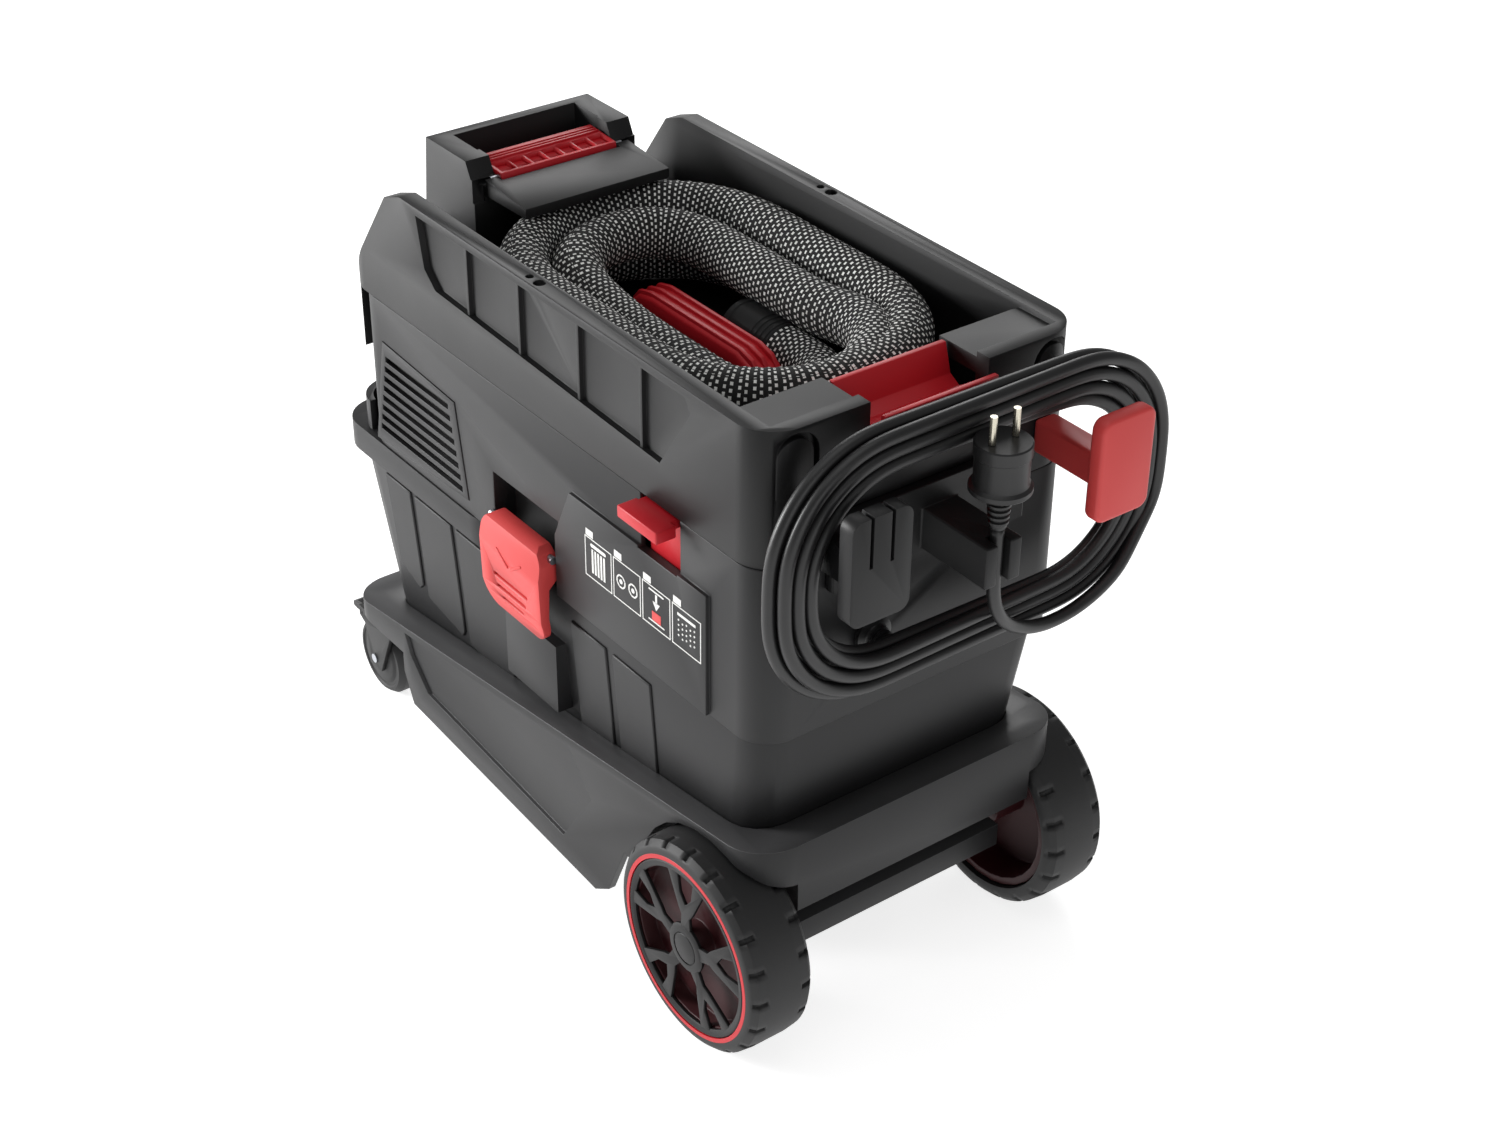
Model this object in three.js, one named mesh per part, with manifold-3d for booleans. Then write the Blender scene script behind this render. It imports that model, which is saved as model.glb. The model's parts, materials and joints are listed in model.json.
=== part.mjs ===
// Wheeled shop vacuum with a hose tray on its head.
// Frame: millimetres, +Z up, floor at z = 0, rear (large wheels and cord) at +X, front (casters) at -X.
import * as THREE from 'three';
import { mergeVertices } from 'three/addons/utils/BufferGeometryUtils.js';
import Module from 'manifold-3d';

const wasm = await Module();
wasm.setup();

// ---------- driving dimensions ----------
const GAP = 0.4; // clearance kept between touching pieces
const ROD_SIDES = 16; // facets round pins and their bearings
const WALL = 4; // moulded wall thickness

const BODY_HALF = 130; // head and tray side face
const BODY_REAR = 246; // head and tray rear face
const HEAD_FRONT = -256; // head front face
const HEAD_BOTTOM = 258; // lower edge of the head
const HEAD_STEP = 265; // lower edge of the head in front of the side latch
const STEP_X = -76; // where that edge steps
const SEAM = 392; // head to tray seam
const RAIL_TOP = 490; // top of the tray's side rails
const RAIL_INNER = 116; // inner face of the rails

const CHASSIS_FRONT = -300;
const CHASSIS_REAR = 257;
const CHASSIS_HALF = 138;
const LEDGE_FRONT = 98; // height of the sloping ledge at its front end
const LEDGE_REAR = 178; // and at its rear end
const SKIRT_BOTTOM = 24;
const SKIRT_FRONT = -213; // the casters and their pedals turn in front of it
const FLOOR_PLATE = 84; // underside of the chassis plate

const TANK = {
  bottom: 94,
  top: 256,
  corner: 26,
  foot: { x0: -262, x1: 216, half: 114 },
  head: { x0: -292, x1: 240, half: 125 },
};
const FLANGE = { front: -302, half: 131, bottom: 242, top: HEAD_STEP - GAP };
const COLLAR_TOP = 290;
const INLET = { z: 206, outer: 25, bore: 19.5 };

const WHEEL = { x: 204, r: 80, outer: 160, width: 52, rim: 66 };
const WHEEL_SIDES = 28; // facets round the rear wheels
const AXLE = 7; // radius of the rear axle
const CASTER = { x: -268, y: 112, trail: 16, r: 34, width: 22, stem: 8, axle: 4, forkTop: 76 };
const PEDAL = { x: -301, z: 71, tip: -323, pin: 2 };

const PLATE = { bottom: HEAD_BOTTOM + 0.6, top: HEAD_BOTTOM + 4.6 };
const VENT = [[-240, 268], [-106, 276], [-119, 352], [-221, 358]]; // corners in X and Z
const MOTOR = { x: 70, r: 62, top: 372, shaft: 5 };
const FAN = { bottom: PLATE.top + 0.4, top: PLATE.top + 34, intake: 18 };
const FLOAT = { r: 22, cage: 32, bottom: 176 };
const FILTER = { r: 80, bore: 50, bottom: 140 };
const LATCH = { x: -28, width: 78, top: 294, bottom: 216 };
const LATCH_PIN = { y: -BODY_HALF - 3.5, z: LATCH.top - 8, r: 3 };
const LEVER = { x: 138, width: 44 };
const GLAND = { y: -40, z: 317, length: 20 };

const TRAY_FLOOR = SEAM + 4;
const TRAY_REAR_INNER = BODY_REAR - 12;
const APRON_FACE = -270;
const BLOCK_HALF = 71;
const REAR_LATCH = { half: 46, pinX: 240, pinZ: 461, pin: 3 };
const FLAP = { x: -176, z: 485, half: 50, pin: 3 };
const KNOB = { y: -45, z: 370 };
const LID = { y: 46, z: 370 };

const HOOK = { y: 100, z: 430, face: 323, width: 46, height: 74 };
const CORD = 9.2; // diameter
const COIL = { x: 279, y: 13, z: 397, halfY: 164, halfZ: 99, band: 37.5, depth: 18.8 };
const PLUG = { x: 308, y: 6, base: 412, face: 474 };
// The free end of the cord, from the plug down, out and across the front of the coil.
const TAIL_ROUTE = [
  [308, 6, 411.6], [308, 6, 398], [308, 6, 384], [307.5, 6.3, 370], [306, 9, 355], [304, 16, 340],
  [300, 28, 326], [297, 46, 314], [295, 68, 307], [294, 92, 307], [293.6, 114, 313], [293.4, 134, 325],
];

const HOSE = 38; // diameter
const HOSE_COIL = { rear: 190, front: -160, half: 114, band: 77, bottom: 397.4, height: 76.6 };
const HOSE_END = { y: 34, z: 417.6 };
const CUFF = { x0: 5, x1: 55, r: 20.4 };

const BLACK = { color: 0x1d1d1e, roughness: 0.62, metalness: 0 };
const CHARCOAL = { color: 0x3a3a3b, roughness: 0.58, metalness: 0 };
const RED = { color: 0xc01e2a, roughness: 0.45, metalness: 0 };
const RUBBER = { color: 0x151516, roughness: 0.8, metalness: 0 };
const STEEL = { color: 0xb9bcc0, roughness: 0.35, metalness: 1 };
const PAPER = { color: 0xd8d2c2, roughness: 0.9, metalness: 0 };
const SLEEVE = { color: 0x242425, roughness: 0.85, metalness: 0 };

// ---------- solids ----------
const part = new THREE.Group();

function toSolid(geometry) {
  const flat = geometry.clone();
  flat.deleteAttribute('normal');
  flat.deleteAttribute('uv');
  const merged = mergeVertices(flat, 1e-4);
  const vertProperties = Float32Array.from(merged.attributes.position.array);
  const triVerts = Uint32Array.from(merged.index.array);
  return new wasm.Manifold(new wasm.Mesh({ numProp: 3, vertProperties, triVerts }));
}

function toGeometry(solid) {
  const mesh = solid.getMesh();
  const geometry = new THREE.BufferGeometry();
  geometry.setAttribute('position', new THREE.BufferAttribute(Float32Array.from(mesh.vertProperties), 3));
  geometry.setIndex(new THREE.BufferAttribute(Uint32Array.from(mesh.triVerts), 1));
  geometry.computeVertexNormals();
  return geometry;
}

function addPiece(name, solid, finish) {
  const mesh = new THREE.Mesh(toGeometry(solid), new THREE.MeshStandardMaterial(finish));
  mesh.name = name;
  part.add(mesh);
}

function addPair(name, solid, finish) {
  addPiece(`${name}_left`, solid, finish);
  addPiece(`${name}_right`, mirrorY(solid), finish);
}

function mirrorY(solid) {
  return solid.mirror([0, 1, 0]);
}

const join = (...solids) => solids.reduce((whole, next) => whole.add(next));
const cut = (body, ...tools) => tools.reduce((whole, tool) => whole.subtract(tool), body);

function box(x0, x1, y0, y1, z0, z1) {
  const geometry = new THREE.BoxGeometry(x1 - x0, y1 - y0, z1 - z0);
  geometry.translate((x0 + x1) / 2, (y0 + y1) / 2, (z0 + z1) / 2);
  return toSolid(geometry);
}

// A closed outline as a THREE.Shape.
const outline = (points) => new THREE.Shape(points.map(([u, v]) => new THREE.Vector2(u, v)));

function roundedOutline(u0, u1, v0, v1, radius) {
  const shape = new THREE.Shape();
  shape.moveTo(u0 + radius, v0);
  shape.lineTo(u1 - radius, v0);
  shape.absarc(u1 - radius, v0 + radius, radius, -Math.PI / 2, 0, false);
  shape.lineTo(u1, v1 - radius);
  shape.absarc(u1 - radius, v1 - radius, radius, 0, Math.PI / 2, false);
  shape.lineTo(u0 + radius, v1);
  shape.absarc(u0 + radius, v1 - radius, radius, Math.PI / 2, Math.PI, false);
  shape.lineTo(u0, v0 + radius);
  shape.absarc(u0 + radius, v0 + radius, radius, Math.PI, 1.5 * Math.PI, false);
  return shape;
}

function extrude(shape, depth, curveSegments = 5) {
  return new THREE.ExtrudeGeometry(shape, { depth, bevelEnabled: false, curveSegments });
}

// Plan outline in X and Y, pushed up from z0 to z1.
function prismZ(shape, z0, z1, curveSegments) {
  const geometry = extrude(shape, z1 - z0, curveSegments);
  geometry.translate(0, 0, z0);
  return toSolid(geometry);
}

// Side outline in X and Z, pushed along Y from y0 to y1.
function prismY(shape, y0, y1, curveSegments) {
  const geometry = extrude(shape, y1 - y0, curveSegments);
  geometry.rotateX(Math.PI / 2);
  geometry.translate(0, y1, 0);
  return toSolid(geometry);
}

// Rear outline in Y and Z, pushed along X from x0 to x1.
function prismX(shape, x0, x1, curveSegments) {
  const geometry = extrude(shape, x1 - x0, curveSegments);
  geometry.rotateX(Math.PI / 2);
  geometry.rotateZ(Math.PI / 2);
  geometry.translate(x0, 0, 0);
  return toSolid(geometry);
}

// A turned piece: profile of [radius, height] points that starts and ends on the axis.
function turned(profile, segments, axis, place) {
  const geometry = new THREE.LatheGeometry(outline(profile).getPoints(), segments);
  if (axis === 'z') geometry.rotateX(Math.PI / 2);
  if (axis === 'x') geometry.rotateZ(-Math.PI / 2);
  geometry.translate(...place);
  const solid = toSolid(geometry);
  return solid.volume() < 0 ? toSolid(flipped(geometry)) : solid;
}

function flipped(geometry) {
  const index = Array.from(geometry.index.array);
  for (let i = 0; i < index.length; i += 3) [index[i], index[i + 1]] = [index[i + 1], index[i]];
  geometry.setIndex(index);
  return geometry;
}

function rod(axis, radius, length, place, segments = ROD_SIDES) {
  const geometry = new THREE.CylinderGeometry(radius, radius, length, segments);
  if (axis === 'x') geometry.rotateZ(Math.PI / 2);
  if (axis === 'z') geometry.rotateX(Math.PI / 2);
  geometry.translate(...place);
  return toSolid(geometry);
}

// A hole whose flats clear a pin of this radius at every angle.
function bearing(axis, pinRadius, length, place) {
  const running = 0.03;
  return rod(axis, (pinRadius + running) / Math.cos(Math.PI / ROD_SIDES), length, place);
}

// The corner points of a rounded rectangle, anticlockwise from its lower right corner.
function roundedRing({ x0, x1, half, z }, radius, steps = 4) {
  const corners = [[x1 - radius, radius - half], [x1 - radius, half - radius],
    [x0 + radius, half - radius], [x0 + radius, radius - half]];
  return corners.flatMap(([cx, cy], corner) => Array.from({ length: steps + 1 }, (_, step) => {
    const angle = (corner - 1 + step / steps) * Math.PI / 2;
    return [cx + radius * Math.cos(angle), cy + radius * Math.sin(angle), z];
  }));
}

// A solid through rounded rectangles, one at each level.
function tapered(levels, radius) {
  const rings = levels.map((level) => roundedRing(level, radius));
  const count = rings[0].length;
  const positions = rings.flat(2);
  const index = [];
  for (let level = 0; level < rings.length - 1; level += 1) {
    for (let i = 0; i < count; i += 1) {
      const a = level * count + i;
      const b = level * count + ((i + 1) % count);
      index.push(a, b, b + count, a, b + count, a + count);
    }
  }
  const top = (rings.length - 1) * count;
  for (let i = 1; i < count - 1; i += 1) {
    index.push(0, i + 1, i);
    index.push(top, top + i, top + i + 1);
  }
  const geometry = new THREE.BufferGeometry();
  geometry.setAttribute('position', new THREE.Float32BufferAttribute(positions, 3));
  geometry.setIndex(index);
  return toSolid(geometry);
}

const mid = (a, b, t) => a + (b - a) * t;

// ---------- base: chassis, tank, wheels ----------
const ledgeHeight = (x) => mid(LEDGE_FRONT, LEDGE_REAR, (x - CHASSIS_FRONT) / (CHASSIS_REAR - CHASSIS_FRONT));

function tankOuter(grow, z0, z1) {
  const at = (z) => {
    const t = (z - TANK.bottom) / (TANK.top - TANK.bottom);
    return {
      x0: mid(TANK.foot.x0, TANK.head.x0, t) - grow,
      x1: mid(TANK.foot.x1, TANK.head.x1, t) + grow,
      half: mid(TANK.foot.half, TANK.head.half, t) + grow,
      z,
    };
  };
  return tapered([at(z0), at(z1)], TANK.corner + grow);
}

// The round space over both rear wheels, a little larger and wider than the wheels.
function wheelHousing(over, beside) {
  const inner = WHEEL.outer - WHEEL.width - beside;
  const depth = WHEEL.outer + 10 - inner;
  const one = rod('y', WHEEL.r + over, depth, [WHEEL.x, -(inner + depth / 2), WHEEL.r], 28);
  return join(one, mirrorY(one));
}

function makeChassis() {
  const wedge = outline([
    [CHASSIS_FRONT, FLOOR_PLATE],
    [CHASSIS_REAR - 40, FLOOR_PLATE],
    [CHASSIS_REAR - 12, 110],
    [CHASSIS_REAR, 122],
    [CHASSIS_REAR, LEDGE_REAR],
    [CHASSIS_FRONT, LEDGE_FRONT],
  ]);
  const plan = roundedOutline(CHASSIS_FRONT, CHASSIS_REAR, -CHASSIS_HALF, CHASSIS_HALF, 34);
  const planBlock = prismZ(plan, SKIRT_BOTTOM - 4, LEDGE_REAR + 4, 6);
  const skirt = outline([
    [SKIRT_FRONT, 66],
    [SKIRT_FRONT + 12, 40],
    [60, SKIRT_BOTTOM],
    [78, SKIRT_BOTTOM + 12],
    [100, FLOOR_PLATE + 2],
    [SKIRT_FRONT, FLOOR_PLATE + 2],
  ]);
  const skirtThickness = 6;
  const side = prismY(skirt, -CHASSIS_HALF, -CHASSIS_HALF + skirtThickness);
  const axleBlock = box(WHEEL.x - 30, WHEEL.x + 30, -100, 100, 66, FLOOR_PLATE + 1);
  const cavity = cut(tankOuter(GAP + 0.2, TANK.bottom - GAP, LEDGE_REAR + 20), wheelHousing(8.2, 6));
  const panel = outline([
    [-200, 88],
    [-176, 64],
    [18, 48],
    [58, 106],
    [30, ledgeHeight(30) - 8],
    [-208, ledgeHeight(-208) - 6],
  ]);
  const panelDepth = 3;
  const recess = prismY(panel, -CHASSIS_HALF - 1, -CHASSIS_HALF + panelDepth);
  const stemHole = bearing('z', CASTER.stem, 30, [CASTER.x, -CASTER.y, FLOOR_PLATE - 1]);
  const body = join(prismY(wedge, -CHASSIS_HALF, CHASSIS_HALF), side, mirrorY(side)).intersect(planBlock);
  return cut(
    join(body, axleBlock),
    wheelHousing(4, 4),
    recess,
    mirrorY(recess),
    cavity,
    bearing('y', AXLE, 320, [WHEEL.x, 0, WHEEL.r]),
    stemHole,
    mirrorY(stemHole),
  );
}

function makeTank() {
  const shell = cut(tankOuter(0, TANK.bottom, TANK.top), wheelHousing(8.8, 6.6));
  const flangePlan = roundedOutline(FLANGE.front, STEP_X, -FLANGE.half, FLANGE.half, 30);
  const flange = prismZ(flangePlan, FLANGE.bottom, FLANGE.top, 5);
  const collarPlan = roundedOutline(-284, -200, -126, 126, 28);
  const collar = prismZ(collarPlan, FLANGE.top - 1, COLLAR_TOP, 5);
  const column = box(LATCH.x - 34, LATCH.x + 34, -130.5, -112, 150, 208);
  const housingWall = wheelHousing(8.8 + WALL, 6.6 + WALL);
  const hollow = cut(tankOuter(-WALL, TANK.bottom + WALL, TANK.top + 1), housingWall);
  const nestHalf = BODY_HALF + 0.6;
  const headNest = box(HEAD_FRONT - 1, STEP_X + 1, -nestHalf, nestHalf, FLANGE.top, COLLAR_TOP + 2);
  const mouthPlan = roundedOutline(-278, STEP_X + 8, -121, 121, 24);
  const mouth = prismZ(mouthPlan, TANK.top - 8, COLLAR_TOP + 2, 5);
  const inlet = rod('x', INLET.outer + GAP, 60, [-285, 0, INLET.z]);
  return cut(join(shell, flange, collar, column, mirrorY(column)), hollow, headNest, mouth, inlet);
}

function makeInletPort() {
  const sleeve = rod('x', INLET.outer, 46, [-289, 0, INLET.z]);
  const collar = rod('x', INLET.outer + 7, 5, [-305.5, 0, INLET.z]);
  return cut(join(sleeve, collar), rod('x', INLET.bore, 80, [-290, 0, INLET.z]));
}

function makeTankSeal() {
  const bottom = TANK.top + 0.6;
  const top = HEAD_BOTTOM + 0.2;
  const outer = prismZ(roundedOutline(-246, 236, -118, 118, 24), bottom, top, 4);
  const inner = prismZ(roundedOutline(-238, 228, -110, 110, 16), bottom - 1, top + 1, 4);
  return cut(outer, inner);
}

function wheelAt(solid, y) {
  return solid.translate([WHEEL.x, y, WHEEL.r]);
}

// Turned about Y, with the profile's height running outwards from the wheel's inner face.
function wheelTurned(profile, segments) {
  return turned(profile, segments, 'y', [0, 0, 0]);
}

function makeTyre() {
  const inner = WHEEL.rim + 1;
  const half = WHEEL.width / 2;
  const shoulder = 5;
  const band = wheelTurned([
    [0, -half], [WHEEL.r - shoulder, -half], [WHEEL.r, -half + shoulder],
    [WHEEL.r, half - shoulder], [WHEEL.r - shoulder, half], [0, half],
  ], WHEEL_SIDES);
  return cut(band, rod('y', inner, WHEEL.width + 4, [0, 0, 0], WHEEL_SIDES));
}

function makeWheelCore() {
  const drum = rod('y', WHEEL.rim, WHEEL.width - 8, [0, 0, 0], WHEEL_SIDES);
  const well = rod('y', WHEEL.rim - 6, WHEEL.width, [0, 0, 0], WHEEL_SIDES);
  const hub = rod('y', 16, WHEEL.width - 8, [0, 0, 0]);
  const web = rod('y', WHEEL.rim - 3, 5, [0, -8, 0], WHEEL_SIDES);
  return cut(join(cut(drum, well), hub, web), bearing('y', AXLE, WHEEL.width + 4, [0, 0, 0]));
}

function makeSpokeCover() {
  const half = WHEEL.width / 2;
  const disc = rod('y', WHEEL.rim, 3.2, [0, -half + 2, 0], WHEEL_SIDES);
  const spoke = (angle) => {
    const window = outline([[16, 0], [30, -9], [56, -13], [56, 13], [30, 9]]);
    return prismY(window, -half - 2, -half + 6).rotate([0, angle, 0]);
  };
  const windows = [0, 1, 2, 3, 4].map((i) => spoke(i * 72));
  return cut(disc, ...windows);
}

function addRearWheels() {
  const centre = WHEEL.outer - WHEEL.width / 2;
  const coreFace = WHEEL.outer - 4;
  const capRadius = 12;
  const cover = wheelAt(makeSpokeCover(), -centre);
  const capHole = rod('y', capRadius + GAP, 20, [WHEEL.x, -WHEEL.outer, WHEEL.r]);
  const capDepth = WHEEL.outer - coreFace - GAP;
  addPair('rear_tyre', wheelAt(makeTyre(), -centre), RUBBER);
  addPair('rear_wheel_core', wheelAt(makeWheelCore(), -centre), RED);
  addPair('spoke_cover', cut(cover, capHole), BLACK);
  const cap = rod('y', capRadius, capDepth, [WHEEL.x, -(coreFace + GAP + capDepth / 2), WHEEL.r]);
  addPair('hub_cap', cap, BLACK);
}

// The fork's cheeks carry the wheel's axle and, at the front, the pedal's trunnions.
function makeCasterFork({ wheelX, y, cheekInner, cheekOuter }) {
  const { r: pivotZ, forkTop, stem } = CASTER;
  const cheek = outline([
    [wheelX - 9, pivotZ - 9], [wheelX + 9, pivotZ - 9], [CASTER.x + 14, forkTop - 4],
    [CASTER.x + 14, forkTop], [PEDAL.x - 4, forkTop], [PEDAL.x - 4, PEDAL.z - 4], [wheelX - 12, forkTop - 14],
  ]);
  const crown = box(wheelX - 8, CASTER.x + 14, y - cheekOuter, y + cheekOuter, forkTop - 4.4, forkTop);
  const collarTop = FLOOR_PLATE - GAP;
  return cut(
    join(
      prismY(cheek, y - cheekOuter, y - cheekInner),
      prismY(cheek, y + cheekInner, y + cheekOuter),
      crown,
      rod('z', stem, 26, [CASTER.x, y, forkTop + 8]),
      rod('z', stem + 5, collarTop - forkTop, [CASTER.x, y, (collarTop + forkTop) / 2]),
    ),
    rod('y', CASTER.axle + 0.05, 60, [wheelX, y, pivotZ]),
    bearing('y', PEDAL.pin, 60, [PEDAL.x, y, PEDAL.z]),
  );
}

function makeCasterWheel(wheelX, y) {
  const half = CASTER.width / 2;
  const tread = CASTER.r;
  const wheel = turned([
    [0, -half], [22, -half], [24, -half + 2], [28, -half + 2], [32, -half + 3], [tread, -half + 7],
    [tread, half - 7], [32, half - 3], [28, half - 2], [24, half - 2], [22, half], [0, half],
  ], 20, 'y', [wheelX, y, CASTER.r]);
  return cut(wheel, bearing('y', CASTER.axle, 60, [wheelX, y, CASTER.r]));
}

function makeBrakePedal(y, cheekOuter) {
  const { x, z, tip } = PEDAL;
  const tread = outline([
    [x - 1, z - 5], [x + 4, z - 4], [x + 4, z + 5], [tip + 9, z + 3],
    [tip, z - 2], [tip, z - 6], [tip + 6, z - 7],
  ]);
  const halfTread = 11;
  const trunnions = rod('y', PEDAL.pin, 2 * cheekOuter, [x, y, z]);
  return join(prismY(tread, y - halfTread, y + halfTread), trunnions);
}

function addCasters() {
  const wheelX = CASTER.x - CASTER.trail;
  const y = -CASTER.y;
  const cheekInner = CASTER.width / 2 + 0.6;
  const cheekOuter = cheekInner + 3.4;
  addPair('caster_fork', makeCasterFork({ wheelX, y, cheekInner, cheekOuter }), BLACK);
  addPair('caster_wheel', makeCasterWheel(wheelX, y), RUBBER);
  addPair('caster_axle', rod('y', CASTER.axle, 2 * cheekOuter + 2, [wheelX, y, CASTER.r]), STEEL);
  addPair('brake_pedal', makeBrakePedal(y, cheekOuter), BLACK);
}

function addBase() {
  addPiece('chassis', makeChassis(), CHARCOAL);
  addPiece('tank', makeTank(), CHARCOAL);
  addPiece('tank_seal', makeTankSeal(), RUBBER);
  addPiece('inlet_port', makeInletPort(), BLACK);
  addPiece('rear_axle', rod('y', AXLE, 2 * (WHEEL.outer - 4), [WHEEL.x, 0, WHEEL.r]), STEEL);
  addRearWheels();
  addCasters();
}

// ---------- head: shell, fan, filter ----------
const grownOutline = (points, grow) => {
  const cx = points.reduce((sum, p) => sum + p[0], 0) / points.length;
  const cz = points.reduce((sum, p) => sum + p[1], 0) / points.length;
  return outline(points.map(([x, z]) => [x + Math.sign(x - cx) * grow, z + Math.sign(z - cz) * grow]));
};

function makeHeadShell() {
  const top = SEAM - GAP;
  const bottom = HEAD_BOTTOM + GAP;
  const outer = prismZ(roundedOutline(HEAD_FRONT, BODY_REAR, -BODY_HALF, BODY_HALF, 26), bottom, top, 5);
  const inner = prismZ(
    roundedOutline(HEAD_FRONT + WALL, BODY_REAR - WALL, WALL - BODY_HALF, BODY_HALF - WALL, 22),
    bottom - 1, top + 1, 5,
  );
  const pocketHalf = LATCH.width / 2 + 3;
  const pocketDepth = 18;
  const pocketTop = LATCH.top + 24;
  const pocketBlock = box(
    LATCH.x - pocketHalf - WALL, LATCH.x + pocketHalf + WALL,
    -BODY_HALF + 1, -BODY_HALF + pocketDepth + WALL, HEAD_STEP, pocketTop + WALL,
  );
  const pocket = box(
    LATCH.x - pocketHalf, LATCH.x + pocketHalf, -BODY_HALF - 10, -BODY_HALF + pocketDepth, 240, pocketTop,
  );
  const panel = outline([[10, bottom], [192, bottom], [192, 352], [34, 352], [10, 300]]);
  const panelProud = 3;
  const labelPanel = prismY(panel, -BODY_HALF - panelProud, -BODY_HALF + 1);
  const step = box(HEAD_FRONT - 5, STEP_X, -BODY_HALF - 5, BODY_HALF + 5, bottom - 5, HEAD_STEP);
  const ventHole = prismY(grownOutline(VENT, GAP), -BODY_HALF - 2, -BODY_HALF + WALL + 2);
  const leverSlot = box(LEVER.x - 22, LEVER.x + 22, -BODY_HALF - 5, -BODY_HALF + WALL + 2, 350, top + 1);
  const glandHole = rod('x', 7, 30, [BODY_REAR, GLAND.y, GLAND.z]);
  const shell = join(cut(outer, inner), pocketBlock, mirrorY(pocketBlock), labelPanel, mirrorY(labelPanel));
  return cut(
    shell, pocket, mirrorY(pocket), step, ventHole, mirrorY(ventHole), leverSlot, glandHole,
  );
}

function makeBasePlate() {
  const rearHalf = BODY_HALF - WALL - 0.8;
  const rear = prismZ(roundedOutline(STEP_X + 8, 241, -rearHalf, rearHalf, 20), PLATE.bottom, PLATE.top, 4);
  const front = prismZ(roundedOutline(-248, STEP_X + 30, -117, 117, 22), PLATE.bottom, PLATE.top, 4);
  const notch = box(LATCH.x - 51, LATCH.x + 51, 107, 140, PLATE.bottom - 1, PLATE.top + 1);
  const intake = rod('z', FAN.intake, 20, [MOTOR.x, 0, PLATE.bottom]);
  return cut(join(rear, front), intake, notch, mirrorY(notch));
}

function addFan() {
  const wallInner = MOTOR.r - 3;
  const fanMiddle = (FAN.top + FAN.bottom) / 2;
  const housing = rod('z', MOTOR.r, FAN.top - FAN.bottom, [MOTOR.x, 0, fanMiddle]);
  const chamber = rod('z', wallInner, FAN.top - FAN.bottom - 6, [MOTOR.x, 0, fanMiddle]);
  const eye = rod('z', FAN.intake, 12, [MOTOR.x, 0, FAN.bottom]);
  const shaftHole = rod('z', 8, 12, [MOTOR.x, 0, FAN.top]);
  addPiece('fan_housing', cut(housing, chamber, eye, shaftHole), BLACK);
  const motorBottom = FAN.top + 0.4;
  const motorBody = rod('z', 44, MOTOR.top - motorBottom, [MOTOR.x, 0, (MOTOR.top + motorBottom) / 2]);
  const motorBore = bearing('z', MOTOR.shaft, 200, [MOTOR.x, 0, MOTOR.top - 20]);
  addPiece('fan_motor', cut(motorBody, motorBore), STEEL);
  const shaftBottom = FAN.bottom + 6;
  const shaftTop = MOTOR.top + 4;
  const shaftMiddle = (shaftTop + shaftBottom) / 2;
  addPiece('motor_shaft', rod('z', MOTOR.shaft, shaftTop - shaftBottom, [MOTOR.x, 0, shaftMiddle]), STEEL);
  const wheelMiddle = FAN.bottom + 18;
  const wheel = rod('z', 54, 16, [MOTOR.x, 0, wheelMiddle]);
  addPiece('impeller', cut(wheel, rod('z', MOTOR.shaft + GAP, 40, [MOTOR.x, 0, wheelMiddle])), STEEL);
}

// A pleated sleeve, closed at its lower end.
function makeFilter() {
  const pleats = 20;
  const folds = Array.from({ length: 2 * pleats }, (_, i) => {
    const angle = i * Math.PI / pleats;
    const radius = i % 2 ? FILTER.r : FILTER.r - 12;
    return [MOTOR.x + radius * Math.cos(angle), radius * Math.sin(angle)];
  });
  const sleeve = prismZ(outline(folds), FILTER.bottom, HEAD_BOTTOM - 2, 1);
  const endCap = 6;
  return cut(sleeve, rod('z', FILTER.bore, 400, [MOTOR.x, 0, FILTER.bottom + endCap + 200]));
}

// The float shuts the fan's intake when the tank is full of water.
function addFloat() {
  const top = PLATE.bottom - 0.4;
  const { bottom } = FLOAT;
  const middle = (top + bottom) / 2;
  const cage = rod('z', FLOAT.cage, top - bottom, [MOTOR.x, 0, middle]);
  const hollow = rod('z', FLOAT.cage - 3, top - bottom, [MOTOR.x, 0, middle + 3]);
  const drain = rod('z', 14, 20, [MOTOR.x, 0, bottom], 16);
  const windowX = box(MOTOR.x - 40, MOTOR.x + 40, -12, 12, bottom + 10, top - 12);
  const windowY = box(MOTOR.x - 12, MOTOR.x + 12, -40, 40, bottom + 10, top - 12);
  addPiece('float_cage', cut(cage, hollow, drain, windowX, windowY), BLACK);
  const ball = new THREE.SphereGeometry(FLOAT.r, 16, 10);
  ball.translate(MOTOR.x, 0, bottom + FLOAT.r + 5);
  addPiece('float_ball', toSolid(ball), RED);
}

function makeVentGrille() {
  const outer = -BODY_HALF - 0.6;
  const plate = prismY(grownOutline(VENT, 0), outer, outer + 4);
  const slotCount = 8;
  const slots = Array.from({ length: slotCount }, (_, i) => {
    const z = 279 + i * 9;
    const inset = i * 2;
    return box(-232 + inset, -114 - inset, outer - 1, outer + 5, z, z + 5);
  });
  return cut(plate, ...slots);
}

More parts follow.
